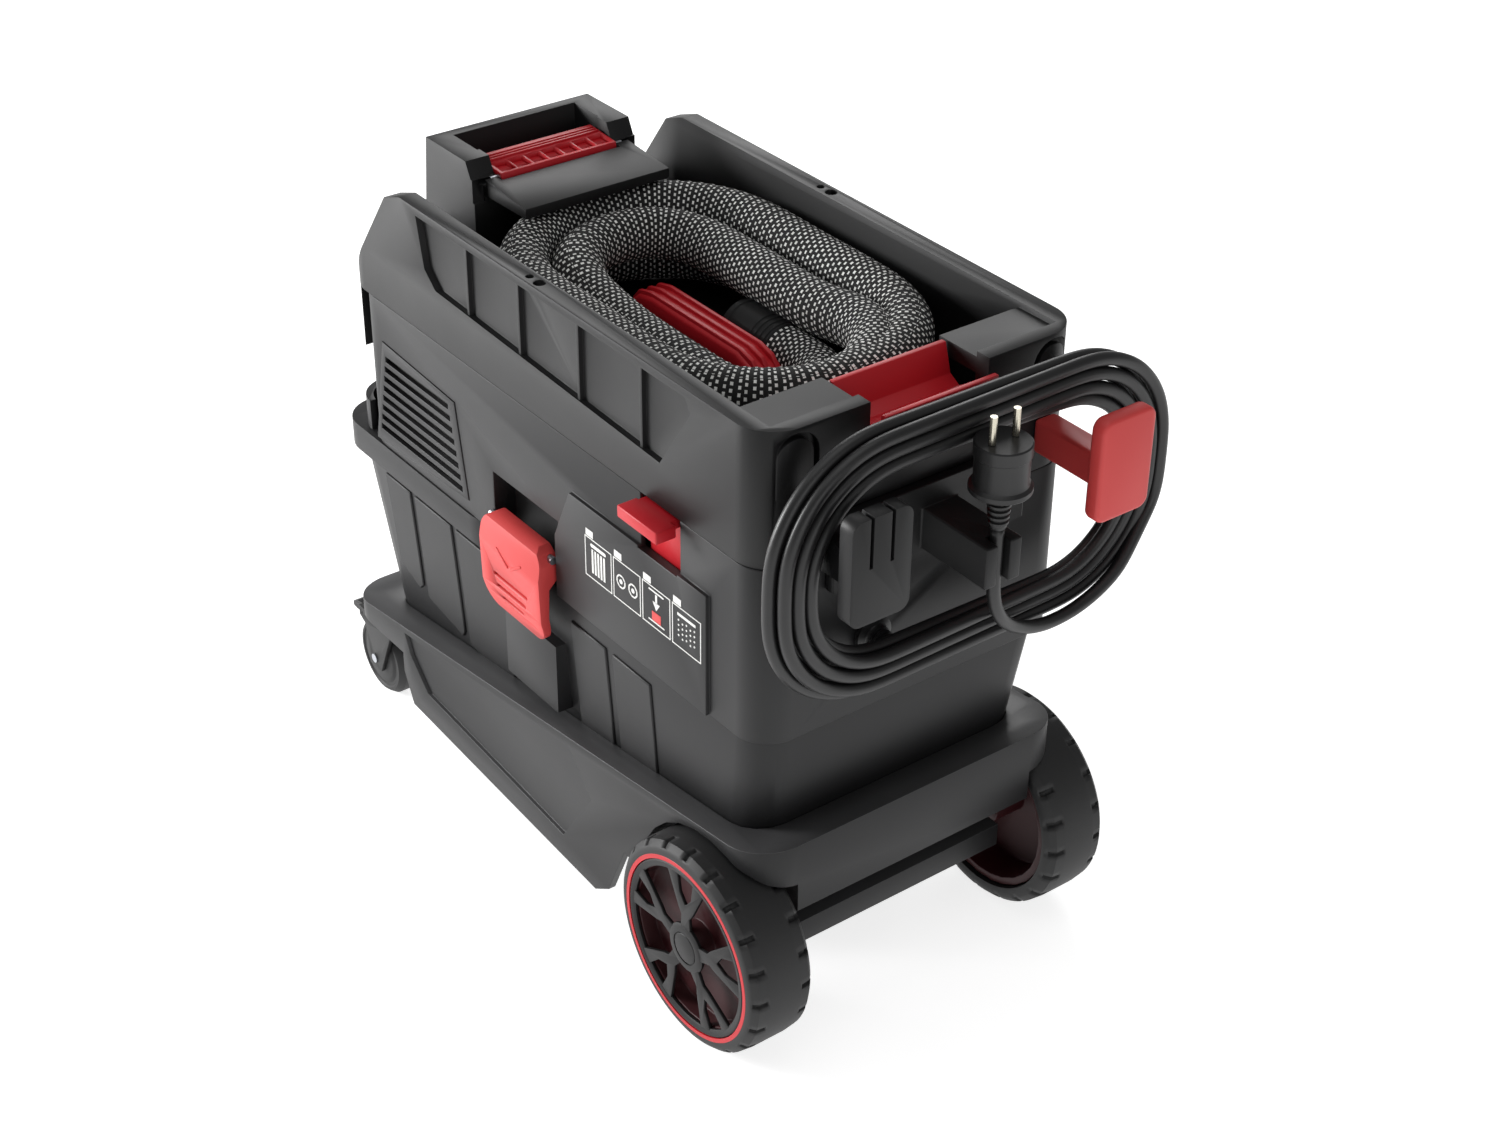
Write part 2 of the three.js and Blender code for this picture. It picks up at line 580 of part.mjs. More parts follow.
function makeSideLatch() {
  const y = -BODY_HALF - 2;
  const side = outline([
    [y - 6, LATCH.top], [y - 11, LATCH.top - 3], [y - 14, 272], [y - 13, 236], [y - 8, LATCH.bottom],
    [y - 3, LATCH.bottom], [y - 6, 238], [y - 5, 262], [y + 3, 270], [y + 3, LATCH.top],
  ]);
  const half = LATCH.width / 2;
  const face = roundedOutline(LATCH.x - half, LATCH.x + half, LATCH.bottom - 1, LATCH.top + 1, 16);
  const blank = prismX(side, LATCH.x - half, LATCH.x + half).intersect(prismY(face, y - 20, y + 10, 4));
  return cut(blank, bearing('x', LATCH_PIN.r, 120, [LATCH.x, LATCH_PIN.y, LATCH_PIN.z]));
}

function makeFilterLever() {
  const half = LEVER.width / 2 - 4;
  const top = SEAM - 1.6;
  const thumb = box(LEVER.x - half - 2, LEVER.x + half + 6, -BODY_HALF - 20, -BODY_HALF - 4.2, top - 9, top);
  const neck = box(LEVER.x - half, LEVER.x + half, -BODY_HALF - 5, -BODY_HALF + 8, top - 7, top);
  const plate = box(LEVER.x - half, LEVER.x + half, -BODY_HALF + 4.6, -BODY_HALF + 8, 338, top);
  return join(thumb, neck, plate);
}

function addHead() {
  addPiece('head_shell', makeHeadShell(), CHARCOAL);
  addPiece('head_base_plate', makeBasePlate(), BLACK);
  addFan();
  addPiece('filter', makeFilter(), PAPER);
  addFloat();
  addPair('vent_grille', makeVentGrille(), CHARCOAL);
  addPair('side_latch', makeSideLatch(), RED);
  addPair('latch_pin', rod('x', LATCH_PIN.r, LATCH.width + 3, [LATCH.x, LATCH_PIN.y, LATCH_PIN.z]), STEEL);
  addPiece('filter_lever', makeFilterLever(), RED);
}

// ---------- tray on the head ----------
// A slit round three sides of a tongue with a round top, in the rear wall.
function makeArchSlit(y, low, high) {
  const outerRadius = 17;
  const innerRadius = 12.6;
  const depth = 5;
  const face = BODY_REAR - depth;
  const arch = cut(
    rod('x', outerRadius, 40, [BODY_REAR, y, high], 24),
    rod('x', innerRadius, 60, [BODY_REAR, y, high], 24),
  );
  const legs = cut(
    box(face, BODY_REAR + 2, y - outerRadius, y + outerRadius, low, high),
    box(face - 1, BODY_REAR + 3, y - innerRadius, y + innerRadius, low - 1, high + 1),
  );
  return join(arch.intersect(box(face, BODY_REAR + 2, y - 20, y + 20, high, high + 20)), legs);
}

function makeTray() {
  const side = outline([
    [BODY_REAR, SEAM], [BODY_REAR, RAIL_TOP], [-180, RAIL_TOP], [-202, 482], [-244, 425],
    [-262, 398], [APRON_FACE, 350], [-264, 338], [HEAD_FRONT - 1.4, 338], [HEAD_FRONT - 1.4, SEAM],
  ]);
  const plan = prismZ(roundedOutline(APRON_FACE, BODY_REAR, -BODY_HALF, BODY_HALF, 28), 330, 500, 6);
  const block = prismY(side, -BODY_HALF, BODY_HALF).intersect(plan);
  const well = prismY(outline([
    [-236, TRAY_FLOOR], [TRAY_REAR_INNER, TRAY_FLOOR], [TRAY_REAR_INNER, 500], [-236, 500],
  ]), -RAIL_INNER, RAIL_INNER);
  const rearRail = box(198, TRAY_REAR_INNER + 1, -RAIL_INNER - 1, RAIL_INNER + 1, 474.5, 486);
  const latchBay = box(190, 270, -REAR_LATCH.half - 2, REAR_LATCH.half + 2, 448, 500);
  const handleBay = box(-280, -200, -BLOCK_HALF - 1, BLOCK_HALF + 1, TRAY_FLOOR, 510);
  const recess = prismY(outline([
    [-158, 484], [-150, 446], [-136, 434], [138, 424], [172, 474], [166, 484],
  ]), -BODY_HALF - 1, -BODY_HALF + 5);
  const rib = (x) => box(x - 1.5, x + 1.5, -BODY_HALF + 1.5, -BODY_HALF + 6, 422, 486);
  const ribs = [-94, -28, 44, 116].map(rib);
  const sideCut = cut(recess, ...ribs);
  const holes = [-20, -8].map((x, i) => rod('z', i ? 4.5 : 3, 14, [x, -123, RAIL_TOP], 12));
  const knobPad = box(APRON_FACE, -258, KNOB.y - 26, KNOB.y + 26, 344, 396);
  const lidPad = box(APRON_FACE, -258, LID.y - 33, LID.y + 33, 344, 396);
  const slits = makeArchSlit(104, 442, 470);
  const { pin, half, pinX, pinZ } = REAR_LATCH;
  const pinHole = rod('y', pin + 0.05, 2 * half + 20, [pinX, 0, pinZ]);
  const mirrored = [sideCut, ...holes].map(mirrorY);
  return cut(
    join(cut(block, well), rearRail, knobPad, lidPad),
    latchBay, handleBay, pinHole, sideCut, ...holes, ...mirrored, slits, mirrorY(slits),
  );
}

function makeHandleBlock() {
  const profile = outline([
    [-252, TRAY_FLOOR + GAP], [-241, 500], [-186, 500], [-180, 488], [-121, 484], [-121, 476.5],
    [-176, 475], [-176, TRAY_FLOOR + GAP],
  ]);
  const blank = prismY(profile, -BLOCK_HALF, BLOCK_HALF);
  const pocket = box(-232, -199, -53, 53, 446, 510);
  const bay = box(-201, -168, -FLAP.half - 1, FLAP.half + 1, 478, 510);
  const corner = box(-178, -110, BLOCK_HALF - 9, BLOCK_HALF + 5, 470, 500);
  const bore = rod('y', FLAP.pin + 0.05, 130, [FLAP.x, 0, FLAP.z]);
  return cut(blank, pocket, bay, corner, mirrorY(corner), bore);
}

function makeFrontFlap() {
  const half = FLAP.half;
  const profile = outline([
    [-206, 492], [-172, 490], [-171, 484], [-176, 481], [-182, 483.5], [-202, 486], [-203, 464], [-206, 464],
  ]);
  return cut(prismY(profile, -half, half), bearing('y', FLAP.pin, 130, [FLAP.x, 0, FLAP.z]));
}

function makeRearLatch() {
  const { half, pin, pinX, pinZ } = REAR_LATCH;
  const profile = outline([
    [203, 486], [207, 486], [213, 466], [222, 461], [232, 467], [246, 468], [252, 474], [254, 484],
    [258, 484], [255, 463], [249, 456], [240, 455], [218, 452], [208, 460],
  ]);
  return cut(prismY(profile, -half, half), bearing('y', pin, 120, [pinX, 0, pinZ]));
}

function makeCarryHandle() {
  const outerLoop = outline([
    [-72, TRAY_FLOOR + GAP], [-68, 420], [-56, 430], [-40, 433], [60, 433], [80, 426], [88, 410],
    [89, TRAY_FLOOR + GAP],
  ]);
  const grip = prismY(outerLoop, -12.5, 12.5);
  return cut(grip, box(-48, 66, -20, 20, TRAY_FLOOR - 5, 416));
}

function makePowerKnob() {
  const face = APRON_FACE - GAP;
  return turned([[0, -16], [12, -16], [20, -12], [21, 0], [0, 0]], 20, 'x', [face, KNOB.y, KNOB.z]);
}

function addTray() {
  addPiece('tray', makeTray(), BLACK);
  addPiece('handle_block', makeHandleBlock(), BLACK);
  addPiece('front_flap', makeFrontFlap(), RED);
  addPiece('front_flap_pin', rod('y', FLAP.pin, 2 * FLAP.half + 14, [FLAP.x, 0, FLAP.z]), STEEL);
  addPiece('rear_latch', makeRearLatch(), RED);
  const { half, pin, pinX, pinZ } = REAR_LATCH;
  addPiece('rear_latch_pin', rod('y', pin, 2 * half + 16, [pinX, 0, pinZ]), STEEL);
  addPiece('carry_handle', makeCarryHandle(), RED);
  addPiece('power_knob', makePowerKnob(), RED);
  addPiece('socket_lid', box(APRON_FACE - 4.4, APRON_FACE - GAP, LID.y - 30, LID.y + 30, 346, 394), BLACK);
}

// ---------- cord, plug and their holders ----------
function makeHook(y) {
  const halfStem = 9;
  const stem = box(BODY_REAR + GAP, HOOK.face - 11, y - halfStem, y + halfStem, 408, 432);
  const plan = roundedOutline(
    y - HOOK.width / 2, y + HOOK.width / 2, HOOK.z - HOOK.height / 2, HOOK.z + HOOK.height / 2, 8,
  );
  return join(stem, prismX(plan, HOOK.face - 12, HOOK.face, 4));
}

function makePlugClip() {
  const base = box(BODY_REAR + GAP, BODY_REAR + 8, -80, 80, 366, 420);
  const arm = box(BODY_REAR + 7, PLUG.x + 8, PLUG.y - 14.5, PLUG.y + 14.5, 374, 404);
  const slot = box(PLUG.x - 5, PLUG.x + 20, PLUG.y - 5.2, PLUG.y + 5.2, 360, 410);
  return cut(join(base, arm), slot);
}

function makeGland() {
  const start = BODY_REAR + GAP;
  return turned([
    [0, 0], [14, 0], [14, 4], [9, 6], [6.4, GLAND.length], [0, GLAND.length],
  ], 20, 'x', [start, GLAND.y, GLAND.z]);
}

function makeCoil() {
  const oval = (inset, radius) => {
    const halfY = COIL.halfY - inset;
    const halfZ = COIL.halfZ - inset;
    return roundedOutline(COIL.y - halfY, COIL.y + halfY, COIL.z - halfZ, COIL.z + halfZ, radius);
  };
  const x0 = COIL.x - COIL.depth / 2;
  const outer = prismX(oval(0, 84), x0, x0 + COIL.depth, 8);
  const inner = prismX(oval(COIL.band, 40), x0 - 1, x0 + COIL.depth + 1, 6);
  return cut(outer, inner);
}

function makePlug() {
  const { base, face } = PLUG;
  return turned([
    [0, base], [5.6, base], [7.5, base + 24], [14, base + 26], [20.3, base + 26], [20.3, base + 32],
    [18.6, base + 34], [18.6, face], [0, face],
  ], 20, 'z', [PLUG.x, PLUG.y, 0]);
}

function tube(route, radius, steps, sides) {
  const curve = new THREE.CatmullRomCurve3(route.map((p) => new THREE.Vector3(...p)));
  const section = new THREE.Shape();
  section.absarc(0, 0, radius, 0, 2 * Math.PI, false);
  const geometry = new THREE.ExtrudeGeometry(section, {
    steps, extrudePath: curve, curveSegments: sides / 2, bevelEnabled: false,
  });
  return toSolid(geometry);
}

function addCord() {
  const slit = (side) => {
    const y = side - HOOK.y;
    return box(HOOK.face - 14, HOOK.face + 1, y - 1.3, y + 1.3, HOOK.z + 2, HOOK.z + HOOK.height);
  };
  addPiece('cord_hook_fixed', cut(makeHook(-HOOK.y), slit(-8), slit(8)), BLACK);
  addPiece('cord_hook_swivel', makeHook(HOOK.y), RED);
  addPiece('plug_clip', makePlugClip(), BLACK);
  addPiece('cord_gland', makeGland(), RUBBER);
  const leadStart = BODY_REAR + GAP + GLAND.length + 0.3;
  const leadEnd = COIL.x - COIL.depth / 2 - 0.3;
  const leadMiddle = (leadStart + leadEnd) / 2;
  addPiece('cord_lead', rod('x', CORD / 2, leadEnd - leadStart, [leadMiddle, GLAND.y, GLAND.z], 10), RUBBER);
  addPiece('cord_coil', makeCoil(), RUBBER);
  addPiece('cord_tail', tube(TAIL_ROUTE, CORD / 2, 18, 10), RUBBER);
  addPiece('plug_body', makePlug(), RUBBER);
  const pinSpacing = 19;
  const pinLength = 19;
  const pinMiddle = PLUG.face + GAP + pinLength / 2;
  const pin = rod('z', 2.4, pinLength, [PLUG.x, PLUG.y - pinSpacing / 2, pinMiddle], 12);
  addPiece('plug_pin_left', pin, STEEL);
  addPiece('plug_pin_right', pin.translate([0, pinSpacing, 0]), STEEL);
}

// ---------- hose in the tray ----------
function addHose() {
  const { rear, front, half, band, bottom, height } = HOSE_COIL;
  const outer = prismZ(roundedOutline(front, rear, -half, half, half - 4), bottom, bottom + height, 8);
  const innerHalf = half - band;
  const inner = prismZ(
    roundedOutline(front + band, rear - band, -innerHalf, innerHalf, 12), bottom - 1, bottom + height + 1, 3,
  );
  const besideCuff = HOSE_END.y + CUFF.r + 1;
  const overCuff = HOSE_END.z + CUFF.r + 1;
  const cuffSpace = box(CUFF.x0 - 3, rear - band, 0, besideCuff, bottom - 1, overCuff);
  addPiece('hose_coil', cut(outer, inner, cuffSpace), SLEEVE);
  const endStart = CUFF.x1 + 0.3;
  const endStop = rear - band - 0.3;
  const length = endStop - endStart;
  const endMiddle = [endStart + length / 2, HOSE_END.y, HOSE_END.z];
  addPiece('hose_end', rod('x', HOSE / 2, length, endMiddle, 12), SLEEVE);
  const cuffLength = CUFF.x1 - CUFF.x0;
  const cuff = rod('x', CUFF.r, cuffLength, [CUFF.x0 + cuffLength / 2, HOSE_END.y, HOSE_END.z], 20);
  const mouth = rod('x', CUFF.r - 4, cuffLength, [CUFF.x0 + cuffLength / 2 - 4, HOSE_END.y, HOSE_END.z], 20);
  addPiece('hose_cuff', cut(cuff, mouth), BLACK);
}

addBase();
addHead();
addTray();
addCord();
addHose();

export default part;
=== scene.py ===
# %% [markdown]
# A wheeled shop vacuum, looked at from above its rear left corner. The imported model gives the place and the
# size of every piece; this file gives each piece its rounded edges, its small details and its finish.

import json
import math

import bpy
from mathutils import Matrix, Vector


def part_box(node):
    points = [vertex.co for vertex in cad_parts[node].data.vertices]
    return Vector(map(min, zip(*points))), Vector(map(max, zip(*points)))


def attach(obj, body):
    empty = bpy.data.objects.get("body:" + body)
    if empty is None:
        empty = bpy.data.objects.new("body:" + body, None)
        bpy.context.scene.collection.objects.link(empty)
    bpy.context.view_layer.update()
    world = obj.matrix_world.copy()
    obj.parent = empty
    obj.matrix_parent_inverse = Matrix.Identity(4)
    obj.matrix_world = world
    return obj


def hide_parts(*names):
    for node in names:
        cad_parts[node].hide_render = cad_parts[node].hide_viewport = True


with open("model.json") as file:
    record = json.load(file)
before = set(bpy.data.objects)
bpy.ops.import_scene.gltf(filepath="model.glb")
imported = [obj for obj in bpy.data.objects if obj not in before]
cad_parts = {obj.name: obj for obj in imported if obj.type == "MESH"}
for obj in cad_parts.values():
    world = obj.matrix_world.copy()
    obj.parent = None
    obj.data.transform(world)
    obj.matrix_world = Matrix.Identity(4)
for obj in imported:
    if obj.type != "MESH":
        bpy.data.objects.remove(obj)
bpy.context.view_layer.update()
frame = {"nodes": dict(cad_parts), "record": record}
MM = 0.001

# %% [markdown]
# The camera looks down on the rear left corner of the vacuum with a slightly long lens, so that the near
# side, the rear and the open hose tray are all in view. Its three axes are given directly.

# %% Camera
CAMERA_PLACE = Vector((1.2581, -0.9086, 1.2266))
CAMERA_RIGHT = Vector((0.60059, 0.79950, 0.00909))
CAMERA_UP = Vector((-0.43723, 0.31889, 0.84091))
CAMERA_BACK = Vector((0.66941, -0.50901, 0.54109))
LENS_MM = 59.8

camera_data = bpy.data.cameras.new("camera")
camera_data.lens = LENS_MM
camera_data.sensor_width = 36.0
camera = bpy.data.objects.new("camera", camera_data)
bpy.context.scene.collection.objects.link(camera)
turn = Matrix((CAMERA_RIGHT, CAMERA_UP, CAMERA_BACK)).transposed()
camera.matrix_world = Matrix.Translation(CAMERA_PLACE) @ turn.to_4x4()
bpy.context.scene.camera = camera
print("camera at", tuple(round(v, 3) for v in camera.location))

# %% [markdown]
# Every finish below is a small tree of nodes. One function turns an sRGB colour code into the linear light
# that the renderer adds up, and one adds a node with its settings and its links.

# %% Colours and nodes


def linear(code):
    """The linear colour of an sRGB hex code."""
    channels = [int(code[i:i + 2], 16) / 255 for i in (1, 3, 5)]
    return tuple(c / 12.92 if c <= 0.04045 else ((c + 0.055) / 1.055) ** 2.4 for c in channels) + (1.0,)


def add_node(tree, kind, inputs=None, **settings):
    """A node of this kind, with its settings and with values or other nodes' outputs on its inputs."""
    made = tree.nodes.new(kind)
    for name, value in settings.items():
        setattr(made, name, value)
    for name, value in (inputs or {}).items():
        if isinstance(value, bpy.types.NodeSocket):
            tree.links.new(value, made.inputs[name])
        else:
            made.inputs[name].default_value = value
    return made


def new_finish(name):
    """An empty material with its output and its shader."""
    finish = bpy.data.materials.new(name)
    finish.use_nodes = True
    tree = finish.node_tree
    shader = tree.nodes["Principled BSDF"]
    return finish, tree, shader


def set_shader(shader, **values):
    """Plain values set straight on the shader's sockets."""
    for name, value in values.items():
        shader.inputs[name.replace("_", " ")].default_value = value


# %% [markdown]
# The housings are moulded ABS and polypropylene. The steel mould is spark eroded, which leaves a fine even
# grain of about 0.8 mm: the eye sees a soft, matte surface with a broad highlight. Handling leaves parts of
# it slightly smoother, which a slow change of roughness gives.

# %% Moulded plastics


def moulded_plastic(name, code, lighter, roughness, grain_mm, grain_height_mm):
    """Plastic from a textured mould: a fine grain, a slow change of gloss and a faint change of shade."""
    finish, tree, shader = new_finish(name)
    place = add_node(tree, "ShaderNodeTexCoord").outputs["Object"]
    grain = add_node(tree, "ShaderNodeTexNoise",
                     {"Vector": place, "Scale": 1 / (grain_mm * MM), "Detail": 2.0})
    clouds = add_node(tree, "ShaderNodeTexNoise", {"Vector": place, "Scale": 14.0, "Detail": 3.0})
    shade = add_node(tree, "ShaderNodeMix",
                     {"Factor": clouds.outputs["Fac"], "A": linear(code), "B": linear(lighter)},
                     data_type="RGBA")
    gloss = add_node(tree, "ShaderNodeMapRange", {"Value": clouds.outputs["Fac"], "To Min": roughness - 0.05,
                                                  "To Max": roughness + 0.06})
    bump = add_node(tree, "ShaderNodeBump", {"Height": grain.outputs["Fac"], "Strength": 0.6,
                                             "Distance": grain_height_mm * MM})
    tree.links.new(shade.outputs["Result"], shader.inputs["Base Color"])
    tree.links.new(gloss.outputs["Result"], shader.inputs["Roughness"])
    tree.links.new(bump.outputs["Normal"], shader.inputs["Normal"])
    set_shader(shader, IOR=1.5, Specular_IOR_Level=0.34)
    return finish


charcoal = moulded_plastic("charcoal_abs_spark_eroded", "#1a1a1b", "#212122", 0.47, 0.8, 0.06)
# The paler ledge grey is a painted sheen: it stands for light from above catching the chassis's upward faces.
ledge_painted_sheen = moulded_plastic("charcoal_abs_painted_sheen_ledge", "#3c3c3d", "#474748", 0.4, 0.9, 0.03)
black = moulded_plastic("black_polypropylene_moulded", "#0c0c0d", "#121213", 0.48, 0.8, 0.05)
red = moulded_plastic("red_abs_satin_moulded", "#b81a24", "#c1222c", 0.42, 1.1, 0.02)
# A lighter copy of the red for the swivel hook, the side latches and a few small marks: painted light,
# standing for the brighter light on faces that look towards the front.
red_painted_light = moulded_plastic("red_satin_painted_light", "#c83e3e", "#d04846", 0.48, 1.1, 0.03)
# The wheel core's red, painted nearly black: painted shade for the core, which sits in shade behind the spoke
# cover.
red_core_painted_shade = moulded_plastic("red_polyamide_painted_shade", "#2e090d", "#380c11", 0.5, 1.0, 0.04)
white_ink = moulded_plastic("white_pad_printed_ink", "#d9d9d6", "#e4e4e1", 0.5, 1.5, 0.01)
print("plastics made")

# %% [markdown]
# Tyre rubber is softer in its highlights than the plastics, and picks up a little dust, which shows as a
# faint grey cloud over the black. The cord's jacket is smoother.

# %% Rubbers


def moulded_rubber(name, code, dusty, roughness):
    """Black rubber with a cloudy film of dust."""
    finish, tree, shader = new_finish(name)
    place = add_node(tree, "ShaderNodeTexCoord").outputs["Object"]
    dust = add_node(tree, "ShaderNodeTexNoise",
                    {"Vector": place, "Scale": 30.0, "Detail": 6.0, "Roughness": 0.6})
    pores = add_node(tree, "ShaderNodeTexNoise", {"Vector": place, "Scale": 1100.0, "Detail": 1.0})
    shade = add_node(tree, "ShaderNodeMix",
                     {"Factor": dust.outputs["Fac"], "A": linear(code), "B": linear(dusty)},
                     data_type="RGBA")
    bump = add_node(tree, "ShaderNodeBump",
                    {"Height": pores.outputs["Fac"], "Strength": 0.5, "Distance": 0.05 * MM})
    tree.links.new(shade.outputs["Result"], shader.inputs["Base Color"])
    tree.links.new(bump.outputs["Normal"], shader.inputs["Normal"])
    set_shader(shader, Roughness=roughness, IOR=1.52)
    return finish


tyre_rubber = moulded_rubber("black_tyre_rubber_moulded", "#0f0f10", "#19191a", 0.6)
jacket_rubber = moulded_rubber("black_cord_jacket_extruded", "#111112", "#161617", 0.42)
print("rubbers made")

# %% [markdown]
# The metal pieces are few: drawn steel pins and axles, a pressed steel motor can, a cast aluminium fan and
# nickel plated plug pins. A fine grain in the metal, drawn out into lines where it is drawn or pressed,
# spreads its highlight.

# %% Metals and paper


def drawn_metal(name, code, roughness, stretch):
    """Metal with fine drawing lines; stretch squeezes the pattern along each axis."""
    finish, tree, shader = new_finish(name)
    place = add_node(tree, "ShaderNodeTexCoord").outputs["Object"]
    mapped = add_node(tree, "ShaderNodeMapping", {"Vector": place, "Scale": stretch})
    lines = add_node(tree, "ShaderNodeTexNoise",
                     {"Vector": mapped.outputs["Vector"], "Scale": 1500.0, "Detail": 3.0})
    gloss = add_node(tree, "ShaderNodeMapRange", {"Value": lines.outputs["Fac"], "To Min": roughness - 0.08,
                                                  "To Max": roughness + 0.1})
    bump = add_node(tree, "ShaderNodeBump",
                    {"Height": lines.outputs["Fac"], "Strength": 0.2, "Distance": 0.02 * MM})
    tree.links.new(gloss.outputs["Result"], shader.inputs["Roughness"])
    tree.links.new(bump.outputs["Normal"], shader.inputs["Normal"])
    set_shader(shader, Base_Color=linear(code), Metallic=1.0)
    return finish


steel = drawn_metal("zinc_plated_steel_drawn", "#b7bac0", 0.32, (1.0, 0.05, 1.0))
motor_steel = drawn_metal("motor_steel_pressed", "#a4a7ab", 0.4, (1.0, 1.0, 0.1))
cast_aluminium = drawn_metal("fan_aluminium_cast", "#c9cbce", 0.45, (1.0, 1.0, 1.0))
plated_brass = drawn_metal("plug_pin_nickel_plated", "#cfc9b8", 0.25, (1.0, 1.0, 0.1))
paper = moulded_plastic("filter_paper_pleated", "#d8d2c2", "#ccc4b0", 0.9, 0.7, 0.2)
print("metals made")

# %% [markdown]
# The hose is a ribbed plastic tube in a woven sleeve: a tight black weave with short white threads that
# come to the surface in regular rows. The pattern follows the hose, so it reads the tube's own UV map,
# whose units are metres along the hose and metres round it. The floats stand about 4.2 mm apart along the
# hose and 4.9 mm round it, and each shows about 2.3 mm round the hose and 1.6 mm along it.

# %% Woven sleeve


FLOAT_PITCH_ALONG = 4.2 * MM
FLOAT_PITCH_ROUND = 4.9 * MM
FLOAT_MARGIN = 1.28 * MM
PAIR_PITCH = 8.4 * MM
PAIR_SHIFT = 0.35 * MM
THREAD_WOBBLE = 0.9 * MM


def woven_sleeve(name):
    """Black weave with white floats in staggered rows, which close up in pairs and waver a little."""
    finish, tree, shader = new_finish(name)
    along = add_node(tree, "ShaderNodeUVMap", uv_map="along").outputs["UV"]
    parts = add_node(tree, "ShaderNodeSeparateXYZ", {"Vector": along})
    wobble = add_node(tree, "ShaderNodeTexNoise", {"Vector": along, "Scale": 90.0, "Detail": 1.0})
    shaken = add_node(tree, "ShaderNodeMath", {0: wobble.outputs["Fac"], 1: THREAD_WOBBLE},
                      operation="MULTIPLY")
    length_way = add_node(tree, "ShaderNodeMath", {0: parts.outputs["Y"], 1: shaken.outputs[0]},
                          operation="ADD")
    pair_wave = add_node(tree, "ShaderNodeMath", {0: length_way.outputs[0], 1: 2 * math.pi / PAIR_PITCH},
                         operation="MULTIPLY")
    pair_sine = add_node(tree, "ShaderNodeMath", {0: pair_wave.outputs[0]}, operation="SINE")
    pair_shift = add_node(tree, "ShaderNodeMath", {0: pair_sine.outputs[0], 1: PAIR_SHIFT},
                          operation="MULTIPLY")
    paired = add_node(tree, "ShaderNodeMath", {0: length_way.outputs[0], 1: pair_shift.outputs[0]},
                      operation="ADD")
    cells = add_node(tree, "ShaderNodeCombineXYZ", {"X": parts.outputs["X"], "Y": paired.outputs[0]})
    floats = add_node(tree, "ShaderNodeTexBrick", {
        "Vector": cells.outputs["Vector"], "Scale": 1.0, "Mortar Size": FLOAT_MARGIN, "Mortar Smooth": 0.12,
        "Bias": -0.4, "Brick Width": FLOAT_PITCH_ROUND, "Row Height": FLOAT_PITCH_ALONG,
        "Color1": linear("#efefec"), "Color2": linear("#c4c4c0"), "Mortar": linear("#090909")},
        offset=0.5, squash=1.0)
    weave = add_node(tree, "ShaderNodeTexBrick", {
        "Vector": along, "Scale": 1.0, "Mortar Size": 0.3 * MM, "Mortar Smooth": 1.0,
        "Brick Width": 2.2 * MM, "Row Height": 1.7 * MM}, offset=0.5)
    bump = add_node(tree, "ShaderNodeBump",
                    {"Height": weave.outputs["Fac"], "Strength": 0.7, "Distance": 0.3 * MM}, invert=True)
    tree.links.new(floats.outputs["Color"], shader.inputs["Base Color"])
    tree.links.new(bump.outputs["Normal"], shader.inputs["Normal"])
    set_shader(shader, Roughness=0.8, IOR=1.5)
    return finish


sleeve = woven_sleeve("polyester_sleeve_woven")
print("sleeve made")

# %% [markdown]
# A cord or a hose is a round section swept along a line. The line is settled first, point by point, then
# evened out so that its steps are equal, and the skin is laid round it with a UV map in metres.

# %% Lines and tubes


def rounded_oval(half_u, half_v, corner, share):
    """The point at this share of the way round a rounded rectangle, from the middle of its lower side."""
    flat_u = half_u - corner
    flat_v = half_v - corner
    arc = math.pi / 2 * corner
    legs = [flat_u, arc, 2 * flat_v, arc, 2 * flat_u, arc, 2 * flat_v, arc, flat_u]
    left = (share % 1.0) * sum(legs)
    centres = [(flat_u, -flat_v), (flat_u, flat_v), (-flat_u, flat_v), (-flat_u, -flat_v)]
    starts = [(0, -half_v), (half_u, -flat_v), (flat_u, half_v), (-half_u, flat_v), (-flat_u, -half_v)]
    ways = [(1, 0), (0, 1), (-1, 0), (0, -1), (1, 0)]
    for leg, length in enumerate(legs):
        if left <= length or leg == len(legs) - 1:
            break
        left -= length
    if leg % 2 == 0:
        (su, sv), (wu, wv) = starts[leg // 2], ways[leg // 2]
        return su + wu * left, sv + wv * left
    cu, cv = centres[leg // 2]
    angle = (leg // 2 - 1) * math.pi / 2 + left / corner
    return cu + corner * math.cos(angle), cv + corner * math.sin(angle)


def smoothed(points, passes):
    """The same line with each point moved towards the middle of its neighbours; the ends stay."""
    for _ in range(passes):
        middle = [(a + 2 * b + c) / 4 for a, b, c in zip(points, points[1:], points[2:])]
        points = [points[0]] + middle + [points[-1]]
    return points


def evened(points, step):
    """The same line with points at equal steps."""
    lengths = [0.0]
    for a, b in zip(points, points[1:]):
        lengths.append(lengths[-1] + (b - a).length)
    count = max(2, round(lengths[-1] / step))
    even = []
    at = 0
    for i in range(count + 1):
        wanted = lengths[-1] * i / count
        while at < len(points) - 2 and lengths[at + 1] < wanted:
            at += 1
        span = lengths[at + 1] - lengths[at]
        even.append(points[at].lerp(points[at + 1], (wanted - lengths[at]) / span if span else 0.0))
    return even, lengths[-1]


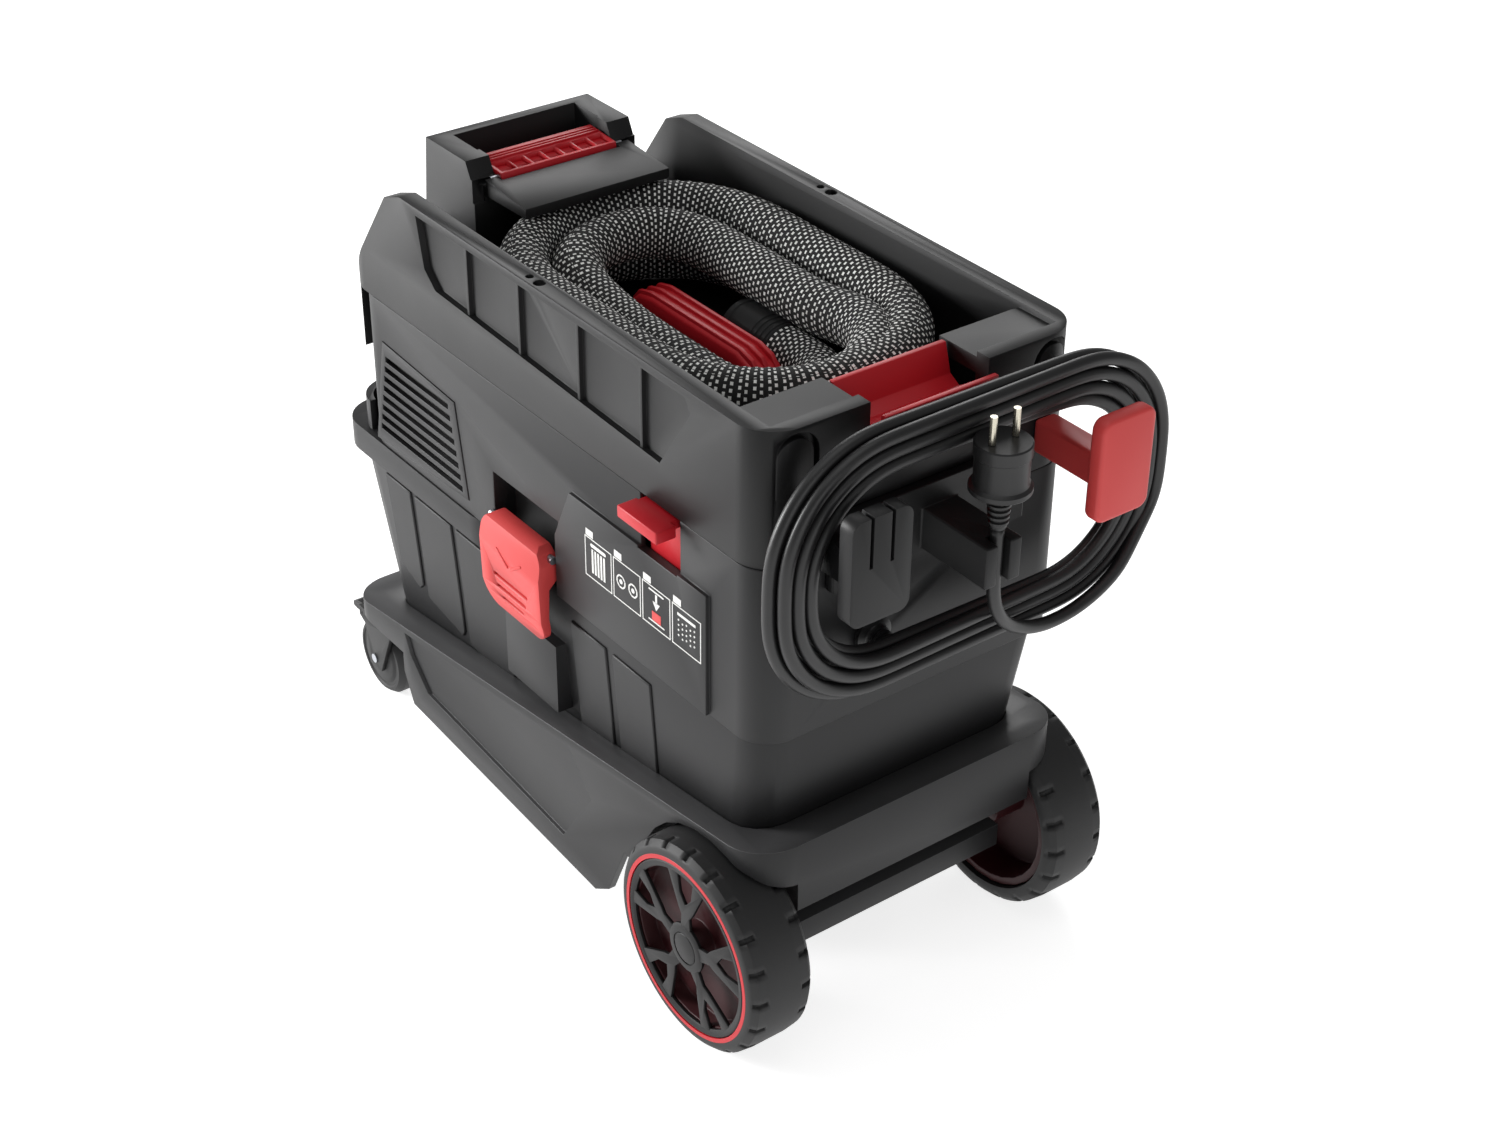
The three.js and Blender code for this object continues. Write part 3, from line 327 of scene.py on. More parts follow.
def tube_along(name, points, radius_at, sides):
    """A closed round skin along the points, with a UV map in metres along and round it."""
    across = (points[1] - points[0]).orthogonal().normalized()
    rings = []
    for i, point in enumerate(points):
        ahead = (points[min(i + 1, len(points) - 1)] - points[max(i - 1, 0)]).normalized()
        across = (across - ahead * across.dot(ahead)).normalized()
        other = ahead.cross(across)
        radius = radius_at(i)
        angles = [2 * math.pi * k / sides for k in range(sides)]
        rings.append([point + (across * math.cos(a) + other * math.sin(a)) * radius for a in angles])
    vertices = [tuple(v) for ring in rings for v in ring]
    faces = []
    for i in range(len(rings) - 1):
        for k in range(sides):
            n = (k + 1) % sides
            faces.append((i * sides + k, i * sides + n, (i + 1) * sides + n, (i + 1) * sides + k))
    faces.append(tuple(reversed(range(sides))))
    faces.append(tuple((len(rings) - 1) * sides + k for k in range(sides)))
    mesh = bpy.data.meshes.new(name)
    mesh.from_pydata(vertices, [], faces)
    layer = mesh.uv_layers.new(name="along")
    step = (points[1] - points[0]).length
    round_step = 2 * math.pi * radius_at(0) / sides
    for face in mesh.polygons[:-2]:
        i, k = divmod(face.index, sides)
        corners = [(i, k), (i, k + 1), (i + 1, k + 1), (i + 1, k)]
        for loop, (row, column) in zip(face.loop_indices, corners):
            layer.data[loop].uv = (column * round_step, row * step)
    mesh.polygons.foreach_set("use_smooth", [True] * len(mesh.polygons))
    piece = bpy.data.objects.new(name, mesh)
    bpy.context.scene.collection.objects.link(piece)
    return piece


# %% [markdown]
# The hose lies in the tray in nearly three rounds. It starts at the rear of the tray's floor and goes once
# round against the wall, climbs on itself for a second round, and comes inside for the third. There it
# sinks, turns back at the rear round the end of the carry handle, and ends in its black cuff on the floor
# beside the handle. The bends are tight for a 38 mm hose, because the tray holds it so.

# %% The hose's line
HOSE_RADIUS = 19 * MM
hose_low, hose_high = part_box("hose_coil")
hose_middle = (hose_low + hose_high) / 2
hose_half_x = (hose_high.x - hose_low.x) / 2
hose_half_y = (hose_high.y - hose_low.y) / 2
cuff_low, cuff_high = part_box("hose_cuff")
cuff_y = (cuff_low.y + cuff_high.y) / 2
cuff_z = (cuff_low.z + cuff_high.z) / 2
LOWER_Z = hose_low.z + HOSE_RADIUS + 0.2 * MM
UPPER_Z = hose_high.z - HOSE_RADIUS - 0.2 * MM
OUTER_INSET = 19.3 * MM
INNER_INSET = 56.8 * MM
TRAY_CORNER = 110 * MM
CLIMB = (1.02, 1.26)
MOVE_INWARDS = (2.22, 2.42)
# How far the hose sinks below its upper layer, and over which turns.
SINKS = ((9 * MM, 2.3, 2.45), (-6 * MM, 2.6, 2.72), (15 * MM, 2.8, 3.0))


def eased(value, start, end):
    """0 before start, 1 after end, and smooth between them."""
    t = min(1.0, max(0.0, (value - start) / (end - start)))
    return t * t * (3 - 2 * t)


def hose_point(turns):
    """A point on the hose's winding after this many turns."""
    inset = OUTER_INSET + (INNER_INSET - OUTER_INSET) * eased(turns, *MOVE_INWARDS)
    sink = sum(depth * eased(turns, start, end) for depth, start, end in SINKS)
    height = LOWER_Z + (UPPER_Z - LOWER_Z) * eased(turns, *CLIMB) - sink
    corner = min(hose_half_y - inset, TRAY_CORNER - inset)
    u, v = rounded_oval(hose_half_x - inset, hose_half_y - inset, corner, turns)
    return Vector((hose_middle.x + u, hose_middle.y + v, height))


WINDING_START = 0.3
WINDING_END = 3.04
HOSE_SAMPLES = 420
TURN_STEPS = 24
TURN_BEHIND_CUFF = 30 * MM
ROUGH_HOSE_STEP = 5 * MM
HOSE_SMOOTHING = 12
LINE_STEP = 4 * MM
winding = [hose_point(WINDING_START + (WINDING_END - WINDING_START) * i / HOSE_SAMPLES)
           for i in range(HOSE_SAMPLES + 1)]
turn_radius = (cuff_y - winding[-1].y) / 2
turn_centre = Vector((cuff_high.x + TURN_BEHIND_CUFF, winding[-1].y + turn_radius, 0))
back_turn = []
for i in range(TURN_STEPS + 1):
    angle = math.pi * i / TURN_STEPS
    height = winding[-1].z + (cuff_z - winding[-1].z) * i / TURN_STEPS
    way = Vector((turn_radius * math.sin(angle), -turn_radius * math.cos(angle), height))
    back_turn.append(turn_centre + way)
run_in = [Vector((cuff_high.x + d * MM, cuff_y, cuff_z)) for d in (20, 8, 0, -10)]
rough_hose, _ = evened(winding + back_turn + run_in, ROUGH_HOSE_STEP)
hose_line, hose_length = evened(smoothed(rough_hose, HOSE_SMOOTHING), LINE_STEP)
print("hose length", round(hose_length, 3), "points", len(hose_line))

# %% The hose and its two ends
RIB_DEPTH = 0.7 * MM
HOSE_SIDES = 28
FITTING_OVERLAP = 6 * MM
SPUN_SMOOTH = math.radians(32)


def hose_radius(i):
    """The ribs of the inner tube show faintly through the sleeve: every second ring is drawn in."""
    return HOSE_RADIUS - RIB_DEPTH * (i % 2)


hose = tube_along("hose_sleeved", hose_line, hose_radius, HOSE_SIDES)
hose.data.materials.append(sleeve)


def deselect_all():
    """Nothing selected and nothing in edit mode."""
    if bpy.context.object and bpy.context.object.mode != "OBJECT":
        bpy.ops.object.mode_set(mode="OBJECT")
    bpy.ops.object.select_all(action="DESELECT")


def select_only(piece):
    """This piece selected and active, and nothing else."""
    deselect_all()
    piece.select_set(True)
    bpy.context.view_layer.objects.active = piece


def set_finish(piece, finish):
    """This finish on the whole piece, in place of what it had."""
    piece.data.materials.clear()
    piece.data.materials.append(finish)


def spun(name, profile, centre, axis, finish, steps=64):
    """A turned piece from (radius, height) points in millimetres, closed on itself or on the axis."""
    deselect_all()
    bpy.ops.mesh.primitive_circle_add(vertices=len(profile), radius=1.0, fill_type="NOTHING")
    piece = bpy.context.object
    piece.name = name
    for vertex, (radius, height) in zip(piece.data.vertices, profile):
        vertex.co = (radius * MM, 0, height * MM)
    bpy.ops.object.mode_set(mode="EDIT")
    bpy.ops.mesh.select_all(action="SELECT")
    bpy.ops.mesh.spin(steps=steps, angle=2 * math.pi, center=(0, 0, 0), axis=(0, 0, 1), use_auto_merge=True)
    bpy.ops.mesh.select_all(action="SELECT")
    bpy.ops.mesh.remove_doubles(threshold=1e-6)
    bpy.ops.mesh.delete_loose()
    bpy.ops.mesh.select_all(action="SELECT")
    bpy.ops.mesh.normals_make_consistent(inside=False)
    bpy.ops.object.mode_set(mode="OBJECT")
    turns = {"x": Matrix.Rotation(math.pi / 2, 4, "Y"), "y": Matrix.Rotation(-math.pi / 2, 4, "X"),
             "-y": Matrix.Rotation(math.pi / 2, 4, "X"), "z": Matrix.Identity(4)}
    piece.data.transform(Matrix.Translation(centre) @ turns[axis])
    set_finish(piece, finish)
    select_only(piece)
    bpy.ops.object.shade_smooth_by_angle(angle=SPUN_SMOOTH)
    return piece


def sleeve_profile(length, radius, bore, ring_at, ring_height):
    """A tube's profile with a few raised rings."""
    outline = [(bore, 0), (radius - 1, 0), (radius, 1)]
    for at in ring_at:
        crown = radius + ring_height
        outline += [(radius, at), (crown, at + 0.6), (crown, at + 2), (radius, at + 2.6)]
    return outline + [(radius, length - 1), (radius - 1, length), (bore, length)]


cuff_length = (cuff_high.x - cuff_low.x) / MM
cuff = spun("hose_cuff_moulded", sleeve_profile(cuff_length, 19.6, 16.6, (4, 30, 35, 40, 45), 0.8),
            Vector((cuff_low.x, cuff_y, cuff_z)), "x", black)
fitting_way = (hose_line[0] - hose_line[1]).normalized()
fitting = spun("hose_fitting_stowed", sleeve_profile(34, 19.4, 15, (6, 12), 0.6),
               Vector((0, 0, 0)), "z", black, 32)
fitting.data.transform(fitting_way.to_track_quat("Z", "Y").to_matrix().to_4x4())
fitting.data.transform(Matrix.Translation(hose_line[0] - fitting_way * FITTING_OVERLAP))
for piece in (hose, cuff, fitting):
    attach(piece, "head")
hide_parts("hose_coil", "hose_end")
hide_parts("hose_cuff")

# %% [markdown]
# The mains cord hangs on the two hooks in long loops. From the plug it drops in front, swings to the right
# and climbs as the outermost strand, then winds inwards in the front layer and outwards in the back one,
# down to the gland in the rear wall. Each strand strays a little from its even place.

# %% The cord's line
CORD_RADIUS = 4.6 * MM
CORD_SIDES = 14
TAIL_ROUTE = [
    (308, 6, 411.6), (308, 6, 398), (308, 6, 384), (307.5, 6.3, 370), (306, 9, 355), (304, 16, 340),
    (300, 28, 326), (297, 46, 314), (295, 68, 307), (294, 92, 307), (293.6, 114, 313), (293.4, 134, 325)]
coil_low, coil_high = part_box("cord_coil")
coil_middle = (coil_low + coil_high) / 2
coil_half_y = (coil_high.y - coil_low.y) / 2
coil_half_z = (coil_high.z - coil_low.z) / 2
FRONT_X = coil_high.x - CORD_RADIUS - 0.1 * MM
BACK_X = coil_low.x + CORD_RADIUS + 0.1 * MM
STRAND = 9.4 * MM
LAYER_TURNS = 3.0
CROSS_TURNS = 0.5
START_SHARE = 0.21
CORD_TURNS = 6.69
CORD_SAMPLES = 700
ROUGH_CORD_STEP = 3 * MM
CORD_SMOOTHING = 14
COIL_CORNER = 84 * MM
CORNER_TIGHTENING = 0.7
SLACK = 1.6 * MM
SLACK_PER_TURN = 5.1
SLACK_START = 0.8


def cord_point(turns):
    """A point on the cord's winding after this many turns from the plug."""
    back = min(LAYER_TURNS, max(0.0, turns - LAYER_TURNS - CROSS_TURNS))
    inset = CORD_RADIUS + 0.1 * MM + STRAND * (min(turns, LAYER_TURNS) - back)
    across = FRONT_X + (BACK_X - FRONT_X) * eased(turns, LAYER_TURNS, LAYER_TURNS + CROSS_TURNS)
    corner = COIL_CORNER - CORNER_TIGHTENING * inset
    share = START_SHARE + turns
    u, v = rounded_oval(coil_half_y - inset, coil_half_z - inset, corner, share)
    loose = SLACK * math.sin(SLACK_PER_TURN * turns + SLACK_START)
    return Vector((across + 0.5 * loose, coil_middle.y + u, coil_middle.z + v))


gland_low, gland_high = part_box("cord_gland")
gland_y = (gland_low.y + gland_high.y) / 2
gland_z = (gland_low.z + gland_high.z) / 2
tail = [Vector(p) * MM for p in TAIL_ROUTE]
loops = [cord_point(CORD_TURNS * i / CORD_SAMPLES) for i in range(CORD_SAMPLES + 1)]
lead = [Vector((gland_high.x + 3.5 * MM, gland_y - 3 * MM, gland_z)),
        Vector((gland_high.x - 1 * MM, gland_y, gland_z))]
rough_cord, _ = evened(tail + loops + lead, ROUGH_CORD_STEP)
cord_line, cord_length = evened(smoothed(rough_cord, CORD_SMOOTHING), LINE_STEP)
cord_line.reverse()
print("cord length", round(cord_length, 3), "points", len(cord_line))

# %% The cord, its gland and its plug
cord = tube_along("cord_mains", cord_line, lambda i: CORD_RADIUS, CORD_SIDES)
cord.data.materials.append(jacket_rubber)
plug_low, plug_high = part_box("plug_body")
plug_middle = (plug_low + plug_high) / 2
relief_rings = []
for ring in range(5):
    start = 3 + 4.2 * ring
    size = 5.6 + 0.35 * ring
    relief_rings += [(size, start), (size + 1.1, start + 0.8), (size + 1.1, start + 2.4), (size, start + 3.2)]
plug_profile = [(0, 0), (5.2, 0), (5.6, 1)] + relief_rings + [
    (9.5, 25), (14, 26.5), (19.4, 27), (20.3, 28), (20.3, 31), (19.4, 32), (18.2, 33), (17.6, 36), (17.6, 52),
    (18.6, 53), (18.6, 61), (17.8, 62), (0, 62)]
plug = spun("plug_moulded", plug_profile, Vector((plug_middle.x, plug_middle.y, plug_low.z)), "z",
            jacket_rubber, 48)
gland_profile = [(0, 0), (14, 0), (14, 3.2), (9.4, 5)]
for ring in range(3):
    start = 6 + 4.4 * ring
    crown = 8.8 - 0.8 * ring
    gland_profile += [(crown, start), (crown, start + 2.4), (7.0 - 0.6 * ring, start + 3)]
gland_profile += [(5.3, 20), (0, 20)]
gland = spun("cord_gland_moulded", gland_profile, Vector((gland_low.x, gland_y, gland_z)), "x",
             jacket_rubber, 40)
for piece in (cord, plug, gland):
    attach(piece, "head")
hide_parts("cord_coil", "cord_tail", "cord_lead")
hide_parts("plug_body")
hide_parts("cord_gland")

# %% [markdown]
# The housings keep their CAD shapes, but a moulding has no sharp edge: each is copied, its loose triangles
# are merged and its flat faces joined, and every sharp edge gets a small radius that catches the light.

# %% Rounded mouldings


def body_of_node(node):
    """The name of the body that this node moves with."""
    bodies = frame["record"]["behaviour"]["bodies"]
    return next(body for body, members in bodies.items() if node in members)


MERGE_DISTANCE = 0.01 * MM
FLAT_ANGLE = math.radians(1.5)
EDGE_ANGLE = math.radians(38)


def moulding(node, finish, edge_mm):
    """A copy of a CAD node with rounded edges, which stands for it."""
    source = frame["nodes"][node]
    piece = bpy.data.objects.new(node + "_finished", source.data.copy())
    bpy.context.scene.collection.objects.link(piece)
    select_only(piece)
    bpy.ops.object.mode_set(mode="EDIT")
    bpy.ops.mesh.select_all(action="SELECT")
    bpy.ops.mesh.remove_doubles(threshold=MERGE_DISTANCE)
    bpy.ops.mesh.dissolve_limited(angle_limit=FLAT_ANGLE)
    bpy.ops.object.mode_set(mode="OBJECT")
    rounding = piece.modifiers.new("rounding", "BEVEL")
    rounding.width = edge_mm * MM
    rounding.segments = 2
    rounding.limit_method = "ANGLE"
    rounding.angle_limit = EDGE_ANGLE
    bpy.ops.object.modifier_apply(modifier="rounding")
    bpy.ops.object.shade_smooth_by_angle(angle=EDGE_ANGLE)
    set_finish(piece, finish)
    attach(piece, body_of_node(node))
    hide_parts(node)
    return piece


SIDES = ("_left", "_right")
housings = [
    ("chassis", charcoal, 2.0), ("tank", charcoal, 1.5), ("inlet_port", black, 1.0),
    ("head_shell", charcoal, 1.0), ("head_base_plate", black, 0.8), ("tray", black, 1.4),
    ("handle_block", black, 1.4), ("front_flap", red, 0.8), ("rear_latch", red, 1.0),
    ("carry_handle", red, 3.0), ("power_knob", red, 1.2), ("socket_lid", black, 1.0),
    ("cord_hook_fixed", black, 2.0), ("cord_hook_swivel", red_painted_light, 2.5), ("plug_clip", black, 1.2),
    ("filter_lever", red, 1.2), ("fan_housing", black, 0.8), ("float_cage", black, 0.8),
    ("filter", paper, 0.5), ("fan_motor", motor_steel, 1.0), ("impeller", cast_aluminium, 0.8),
    ("tank_seal", tyre_rubber, 0.3)]
for stem, finish, edge in (
        ("rear_wheel_core", red_core_painted_shade, 0.8), ("hub_cap", black, 0.8),
        ("caster_fork", black, 0.8), ("brake_pedal", black, 1.2), ("vent_grille", charcoal, 0.5),
        ("side_latch", red_painted_light, 1.6)):
    housings += [(stem + side, finish, edge) for side in SIDES]
mouldings = {node: moulding(node, finish, edge) for node, finish, edge in housings}

# The faces of the chassis that look upwards get a paler, slightly smoother grey: a painted sheen, standing
# for the light from above that catches them.
FACES_UP = 0.3
chassis = mouldings["chassis"]
chassis.data.materials.append(ledge_painted_sheen)
for face in chassis.data.polygons:
    if face.normal.z > FACES_UP:
        face.material_index = 1
print("mouldings:", len(mouldings))

# %% Pins, axles and the float keep their CAD meshes
kept = [("rear_axle", steel), ("motor_shaft", steel), ("front_flap_pin", steel), ("rear_latch_pin", steel),
        ("latch_pin_left", steel), ("latch_pin_right", steel), ("caster_axle_left", steel),
        ("caster_axle_right", steel), ("plug_pin_left", plated_brass), ("plug_pin_right", plated_brass),
        ("float_ball", red)]
for node, finish in kept:
    set_finish(frame["nodes"][node], finish)
print("kept nodes:", len(kept))

# %% [markdown]
# The rear tyres are solid rubber on a moulded core. Their profile is turned round the axle, and then every
# sixth step of each shoulder is pushed in to leave the short tread grooves. The tyre is modelled once and
# copied.

# %% Tyres
wheel_low, wheel_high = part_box("rear_tyre_left")
wheel_middle = (wheel_low + wheel_high) / 2
TYRE_STEPS = 120
GROOVE_EVERY = 6
GROOVE_DEPTH = 2.4 * MM
GROOVE_FOOT = 74.5 * MM
SHOULDER = (13.5 * MM, 25 * MM)


def make_tyre(name):
    """The left tyre, with its grooved shoulders."""
    profile = [(67, -25), (70, -26), (74, -25.4), (75.5, -24.6), (79, -21), (79.8, -14), (80, -12.5),
               (80, 12.5), (79.8, 14), (79, 21), (75.5, 24.6), (74, 25.4), (70, 26), (67, 25)]
    tyre = spun(name, profile, wheel_middle, "-y", tyre_rubber, TYRE_STEPS)
    bpy.ops.object.mode_set(mode="EDIT")
    bpy.ops.mesh.select_all(action="DESELECT")
    bpy.ops.object.mode_set(mode="OBJECT")
    for face in tyre.data.polygons:
        out = face.center - wheel_middle
        angle = math.degrees(math.atan2(out.z, out.x)) % 360
        step = int(angle / (360 / TYRE_STEPS))
        radius = math.hypot(out.x, out.z)
        on_shoulder = radius > GROOVE_FOOT and SHOULDER[0] < abs(out.y) < SHOULDER[1]
        face.select = step % GROOVE_EVERY == 0 and on_shoulder
    bpy.ops.object.mode_set(mode="EDIT")
    bpy.ops.mesh.select_mode(type="FACE")
    bpy.ops.mesh.extrude_region_shrink_fatten(TRANSFORM_OT_shrink_fatten={"value": -GROOVE_DEPTH})
    bpy.ops.object.mode_set(mode="OBJECT")
    return tyre


def mirrored(piece, name):
    """A copy of a left-hand piece for the right-hand side."""
    other = piece.copy()
    other.data = piece.data.copy()
    other.name = name
    for key in [k for k in other.keys() if k.startswith("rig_")]:
        del other[key]
    other.parent = None
    bpy.context.scene.collection.objects.link(other)
    other.data.transform(Matrix.Diagonal((1, -1, 1, 1)))
    select_only(other)
    bpy.ops.object.mode_set(mode="EDIT")
    bpy.ops.mesh.select_all(action="SELECT")
    bpy.ops.mesh.flip_normals()
    bpy.ops.object.mode_set(mode="OBJECT")
    return other


tyre = make_tyre("rear_tyre_grooved_left")
other_tyre = mirrored(tyre, "rear_tyre_grooved_right")
rim_ring = spun("rim_ring_left", [(66.6, -0.2), (69.6, -0.2), (70.2, 0.4), (69.6, 1.0), (66.6, 1.0)],
                Vector((wheel_middle.x, wheel_low.y + 0.9 * MM, wheel_middle.z)), "-y", red, 96)
other_ring = mirrored(rim_ring, "rim_ring_right")
for piece, side in ((tyre, "left"), (rim_ring, "left"), (other_tyre, "right"), (other_ring, "right")):
    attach(piece, "wheel_" + side)
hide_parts("rear_tyre_left")
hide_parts("rear_tyre_right")
for side in SIDES:
    low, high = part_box("caster_wheel" + side)
    middle = (low + high) / 2
    roller = spun("caster_roller" + side, [
        (4.1, -11), (21, -11), (22, -10.4), (24, -9), (27, -9), (28, -10), (30, -10), (31.5, -8.5), (34, -5),
        (34, 5), (31.5, 8.5), (30, 10), (28, 10), (27, 9), (24, 9), (22, 10.4), (21, 11), (4.1, 11)],
        middle, "-y", tyre_rubber, 64)
    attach(roller, "roller" + side)
    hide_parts("caster_wheel" + side)
print("wheels made")

# %% [markdown]
# Flat details are cut from sheet: an outline is drawn as one face, pushed out to its thickness and given a
# small edge. The outline stands in the X and Z plane, facing the near side, and is turned where a detail
# needs it.

# %% Plates from outlines
PLATE_SMOOTH = math.radians(35)


def plate(name, points, y0, y1, finish, edge_mm=0.0):
    """A plate from an outline of (x, z) points in millimetres, between two distances along Y."""
    deselect_all()
    bpy.ops.mesh.primitive_circle_add(vertices=len(points), radius=1.0, fill_type="NGON")
    piece = bpy.context.object
    piece.name = name
    for vertex, (x, z) in zip(piece.data.vertices, points):
        vertex.co = (x * MM, y0 * MM, z * MM)
    bpy.ops.object.mode_set(mode="EDIT")
    bpy.ops.mesh.select_all(action="SELECT")
    bpy.ops.mesh.extrude_region_move(TRANSFORM_OT_translate={"value": (0, (y1 - y0) * MM, 0)})
    bpy.ops.mesh.select_all(action="SELECT")
    bpy.ops.mesh.normals_make_consistent(inside=False)
    bpy.ops.object.mode_set(mode="OBJECT")
    if edge_mm:
        rounding = piece.modifiers.new("rounding", "BEVEL")
        rounding.width = edge_mm * MM
        rounding.segments = 2
        bpy.ops.object.modifier_apply(modifier="rounding")
    set_finish(piece, finish)
    bpy.ops.object.shade_smooth_by_angle(angle=PLATE_SMOOTH)
    return piece


def joined(name, parts):
    """Several parts made into one piece."""
    deselect_all()
    for item in parts:
        item.select_set(True)
    bpy.context.view_layer.objects.active = parts[0]
    bpy.ops.object.join()
    whole = bpy.context.object
    whole.name = name
    return whole


def capsule(x, z, half_length, radius, tilt=0.0, steps=6):
    """The outline of a bar with round ends, about (x, z)."""
    ends = []
    for centre, start in ((half_length, -90), (-half_length, 90)):
        for i in range(steps + 1):
            angle = math.radians(start + 180 * i / steps)
            u = centre + radius * math.cos(angle)
            v = radius * math.sin(angle)
            ends.append((x + u * math.cos(tilt) - v * math.sin(tilt),
                         z + u * math.sin(tilt) + v * math.cos(tilt)))
    return ends


def ring_outline(x, z, radius, steps=20):
    """The outline of a disc."""
    return [(x + radius * math.cos(2 * math.pi * i / steps), z + radius * math.sin(2 * math.pi * i / steps))
            for i in range(steps)]


def block(x0, x1, z0, z1):
    """The outline of a rectangle."""
    return [(x0, z0), (x1, z0), (x1, z1), (x0, z1)]


# %% [markdown]
# The wheel cover is a star: a hub, five spokes that fork half way out, and a thin rim. It is moulded in
# black, and the red core shows faintly between the forks, painted nearly black as painted shade for its place
# behind the cover.

# %% Spoke stars
COVER_BACK = -3.4
COVER_FRONT = -0.6
cover_middle_x = wheel_middle.x / MM
cover_middle_z = wheel_middle.z / MM
cover_face_y = wheel_low.y / MM


def turned_outline(points, angle):
    """The outline turned about the wheel's axle."""
    cosine, sine = math.cos(angle), math.sin(angle)
    return [(cover_middle_x + u * cosine - v * sine, cover_middle_z + u * sine + v * cosine)
            for u, v in points]


ARMS = 5
FIRST_ARM = 18.0
FORK = [(10, -6), (28, -4.6), (33, -8), (60, -21), (64, -14), (62, -9), (46, -6.5), (38, 0), (46, 6.5),
        (62, 9), (64, 14), (60, 21), (33, 8), (28, 4.6), (10, 6)]
star_parts = [spun("star_rim", [(60.5, -3.2), (66, -3.2), (66, -0.6), (65, 0), (62, -0.4), (60.5, -1.4)],
                   Vector((wheel_middle.x, wheel_low.y, wheel_middle.z)), "-y", black, 96),
              spun("star_hub", [(12.6, -3.2), (19, -3.2), (19, -1.2), (17, 0), (12.6, 0)],
                   Vector((wheel_middle.x, wheel_low.y, wheel_middle.z)), "-y", black, 48)]
for arm in range(ARMS):
    outline = turned_outline(FORK, math.radians(FIRST_ARM + 360 / ARMS * arm))
    star_parts.append(plate("spoke", outline, cover_face_y - COVER_BACK, cover_face_y - COVER_FRONT, black,
                            0.7))
star = joined("spoke_star_left", star_parts)
other_star = mirrored(star, "spoke_star_right")
for piece, side in ((star, "left"), (other_star, "right")):
    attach(piece, "wheel_" + side)
    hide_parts("spoke_cover_" + side)
print("stars made")

# %% [markdown]
# The tank's walls are stiffened by shallow raised panels with a bevelled edge. The wall leans outwards a
# little towards the top, so each corner of a panel is laid on the wall where it stands.

# %% Tank panels
WALL_FOOT = (94.0, 114.0)
WALL_HEAD = (256.0, 125.0)
PANEL_RISE = 1.6
PANEL_ROOT = 1.0
PANEL_EDGE = 1.2
PANELS = [
    [(-240, 150), (-212, 138), (-206, 144), (-206, 232), (-244, 232)],
    [(-200, 136), (-150, 126), (-146, 132), (-146, 232), (-200, 232)],
    [(-140, 124), (-80, 118), (-74, 124), (-74, 232), (-140, 232)],
    [(18, 128), (62, 128), (62, 236), (18, 236)],
    [(70, 132), (116, 136), (116, 236), (70, 236)]]


def wall_y(z):
    """How far the tank's side wall is from the middle at this height, in millimetres."""
    share = (z - WALL_FOOT[0]) / (WALL_HEAD[0] - WALL_FOOT[0])
    return WALL_FOOT[1] + (WALL_HEAD[1] - WALL_FOOT[1]) * share


def wall_panel(points):
    """A raised panel on the near wall of the tank, from its (x, z) outline."""
    piece = plate("panel", points, 0, PANEL_ROOT + PANEL_RISE, charcoal)
    for vertex in piece.data.vertices:
        deep = vertex.co.y > 1 * MM
        vertex.co.y = -(wall_y(vertex.co.z / MM) + (-PANEL_ROOT if deep else PANEL_RISE)) * MM
    bevel = piece.modifiers.new("edge", "BEVEL")
    bevel.width = PANEL_EDGE * MM
    bevel.segments = 2
    select_only(piece)
    bpy.ops.object.modifier_apply(modifier="edge")
    bpy.ops.object.mode_set(mode="EDIT")
    bpy.ops.mesh.select_all(action="SELECT")
    bpy.ops.mesh.normals_make_consistent(inside=False)
    bpy.ops.object.mode_set(mode="OBJECT")
    return piece


panels = joined("tank_panels_left", [wall_panel(points) for points in PANELS])
other_panels = mirrored(panels, "tank_panels_right")
for piece in (panels, other_panels):
    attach(piece, "base")
print("panels made")

# %% [markdown]
# Each side latch has rounded lower corners, three finger grooves low on its face and a raised chevron above
# them.

# %% Latch grooves
clip_low, clip_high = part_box("side_latch_left")
clip_x = (clip_low.x + clip_high.x) / 2 / MM
clip_z = clip_low.z / MM
clip_y = clip_low.y / MM


def cut_from(piece, cutter):
    """The piece with the cutter's shape taken away."""
    select_only(piece)
    taking = piece.modifiers.new("taking", "BOOLEAN")
    taking.operation = "DIFFERENCE"
    taking.solver = "EXACT"
    taking.object = cutter
    bpy.ops.object.modifier_apply(modifier="taking")
    bpy.data.objects.remove(cutter)


LATCH_ROUND = 15.0
# The height of each finger groove above the latch's foot, half its length, and how far its cutter reaches.
GROOVES = ((15, 13, 5.0), (24, 18, 3.9), (33, 21, 2.8))
GROOVE_RADIUS = 1.7
CHEVRON_UP = 52
CHEVRON_TILT = 0.6


def corner_cutters(side):
    """Flat cuts along a round that takes off one lower corner of the near latch."""
    edge = clip_high.x / MM if side > 0 else clip_low.x / MM
    cuts = []
    for degrees in (15, 30, 45, 60, 75):
        out_x, out_z = side * math.sin(math.radians(degrees)), -math.cos(math.radians(degrees))
        touch_x = edge - side * LATCH_ROUND + LATCH_ROUND * out_x
        touch_z = clip_z + LATCH_ROUND + LATCH_ROUND * out_z
        quad = [(touch_x + along * out_z + away * out_x, touch_z - along * out_x + away * out_z)
                for along, away in ((-9, 0), (9, 0), (9, 12), (-9, 12))]
        cuts.append(plate("corner", quad, clip_y - 5, clip_y + 40, red_painted_light))
    return cuts


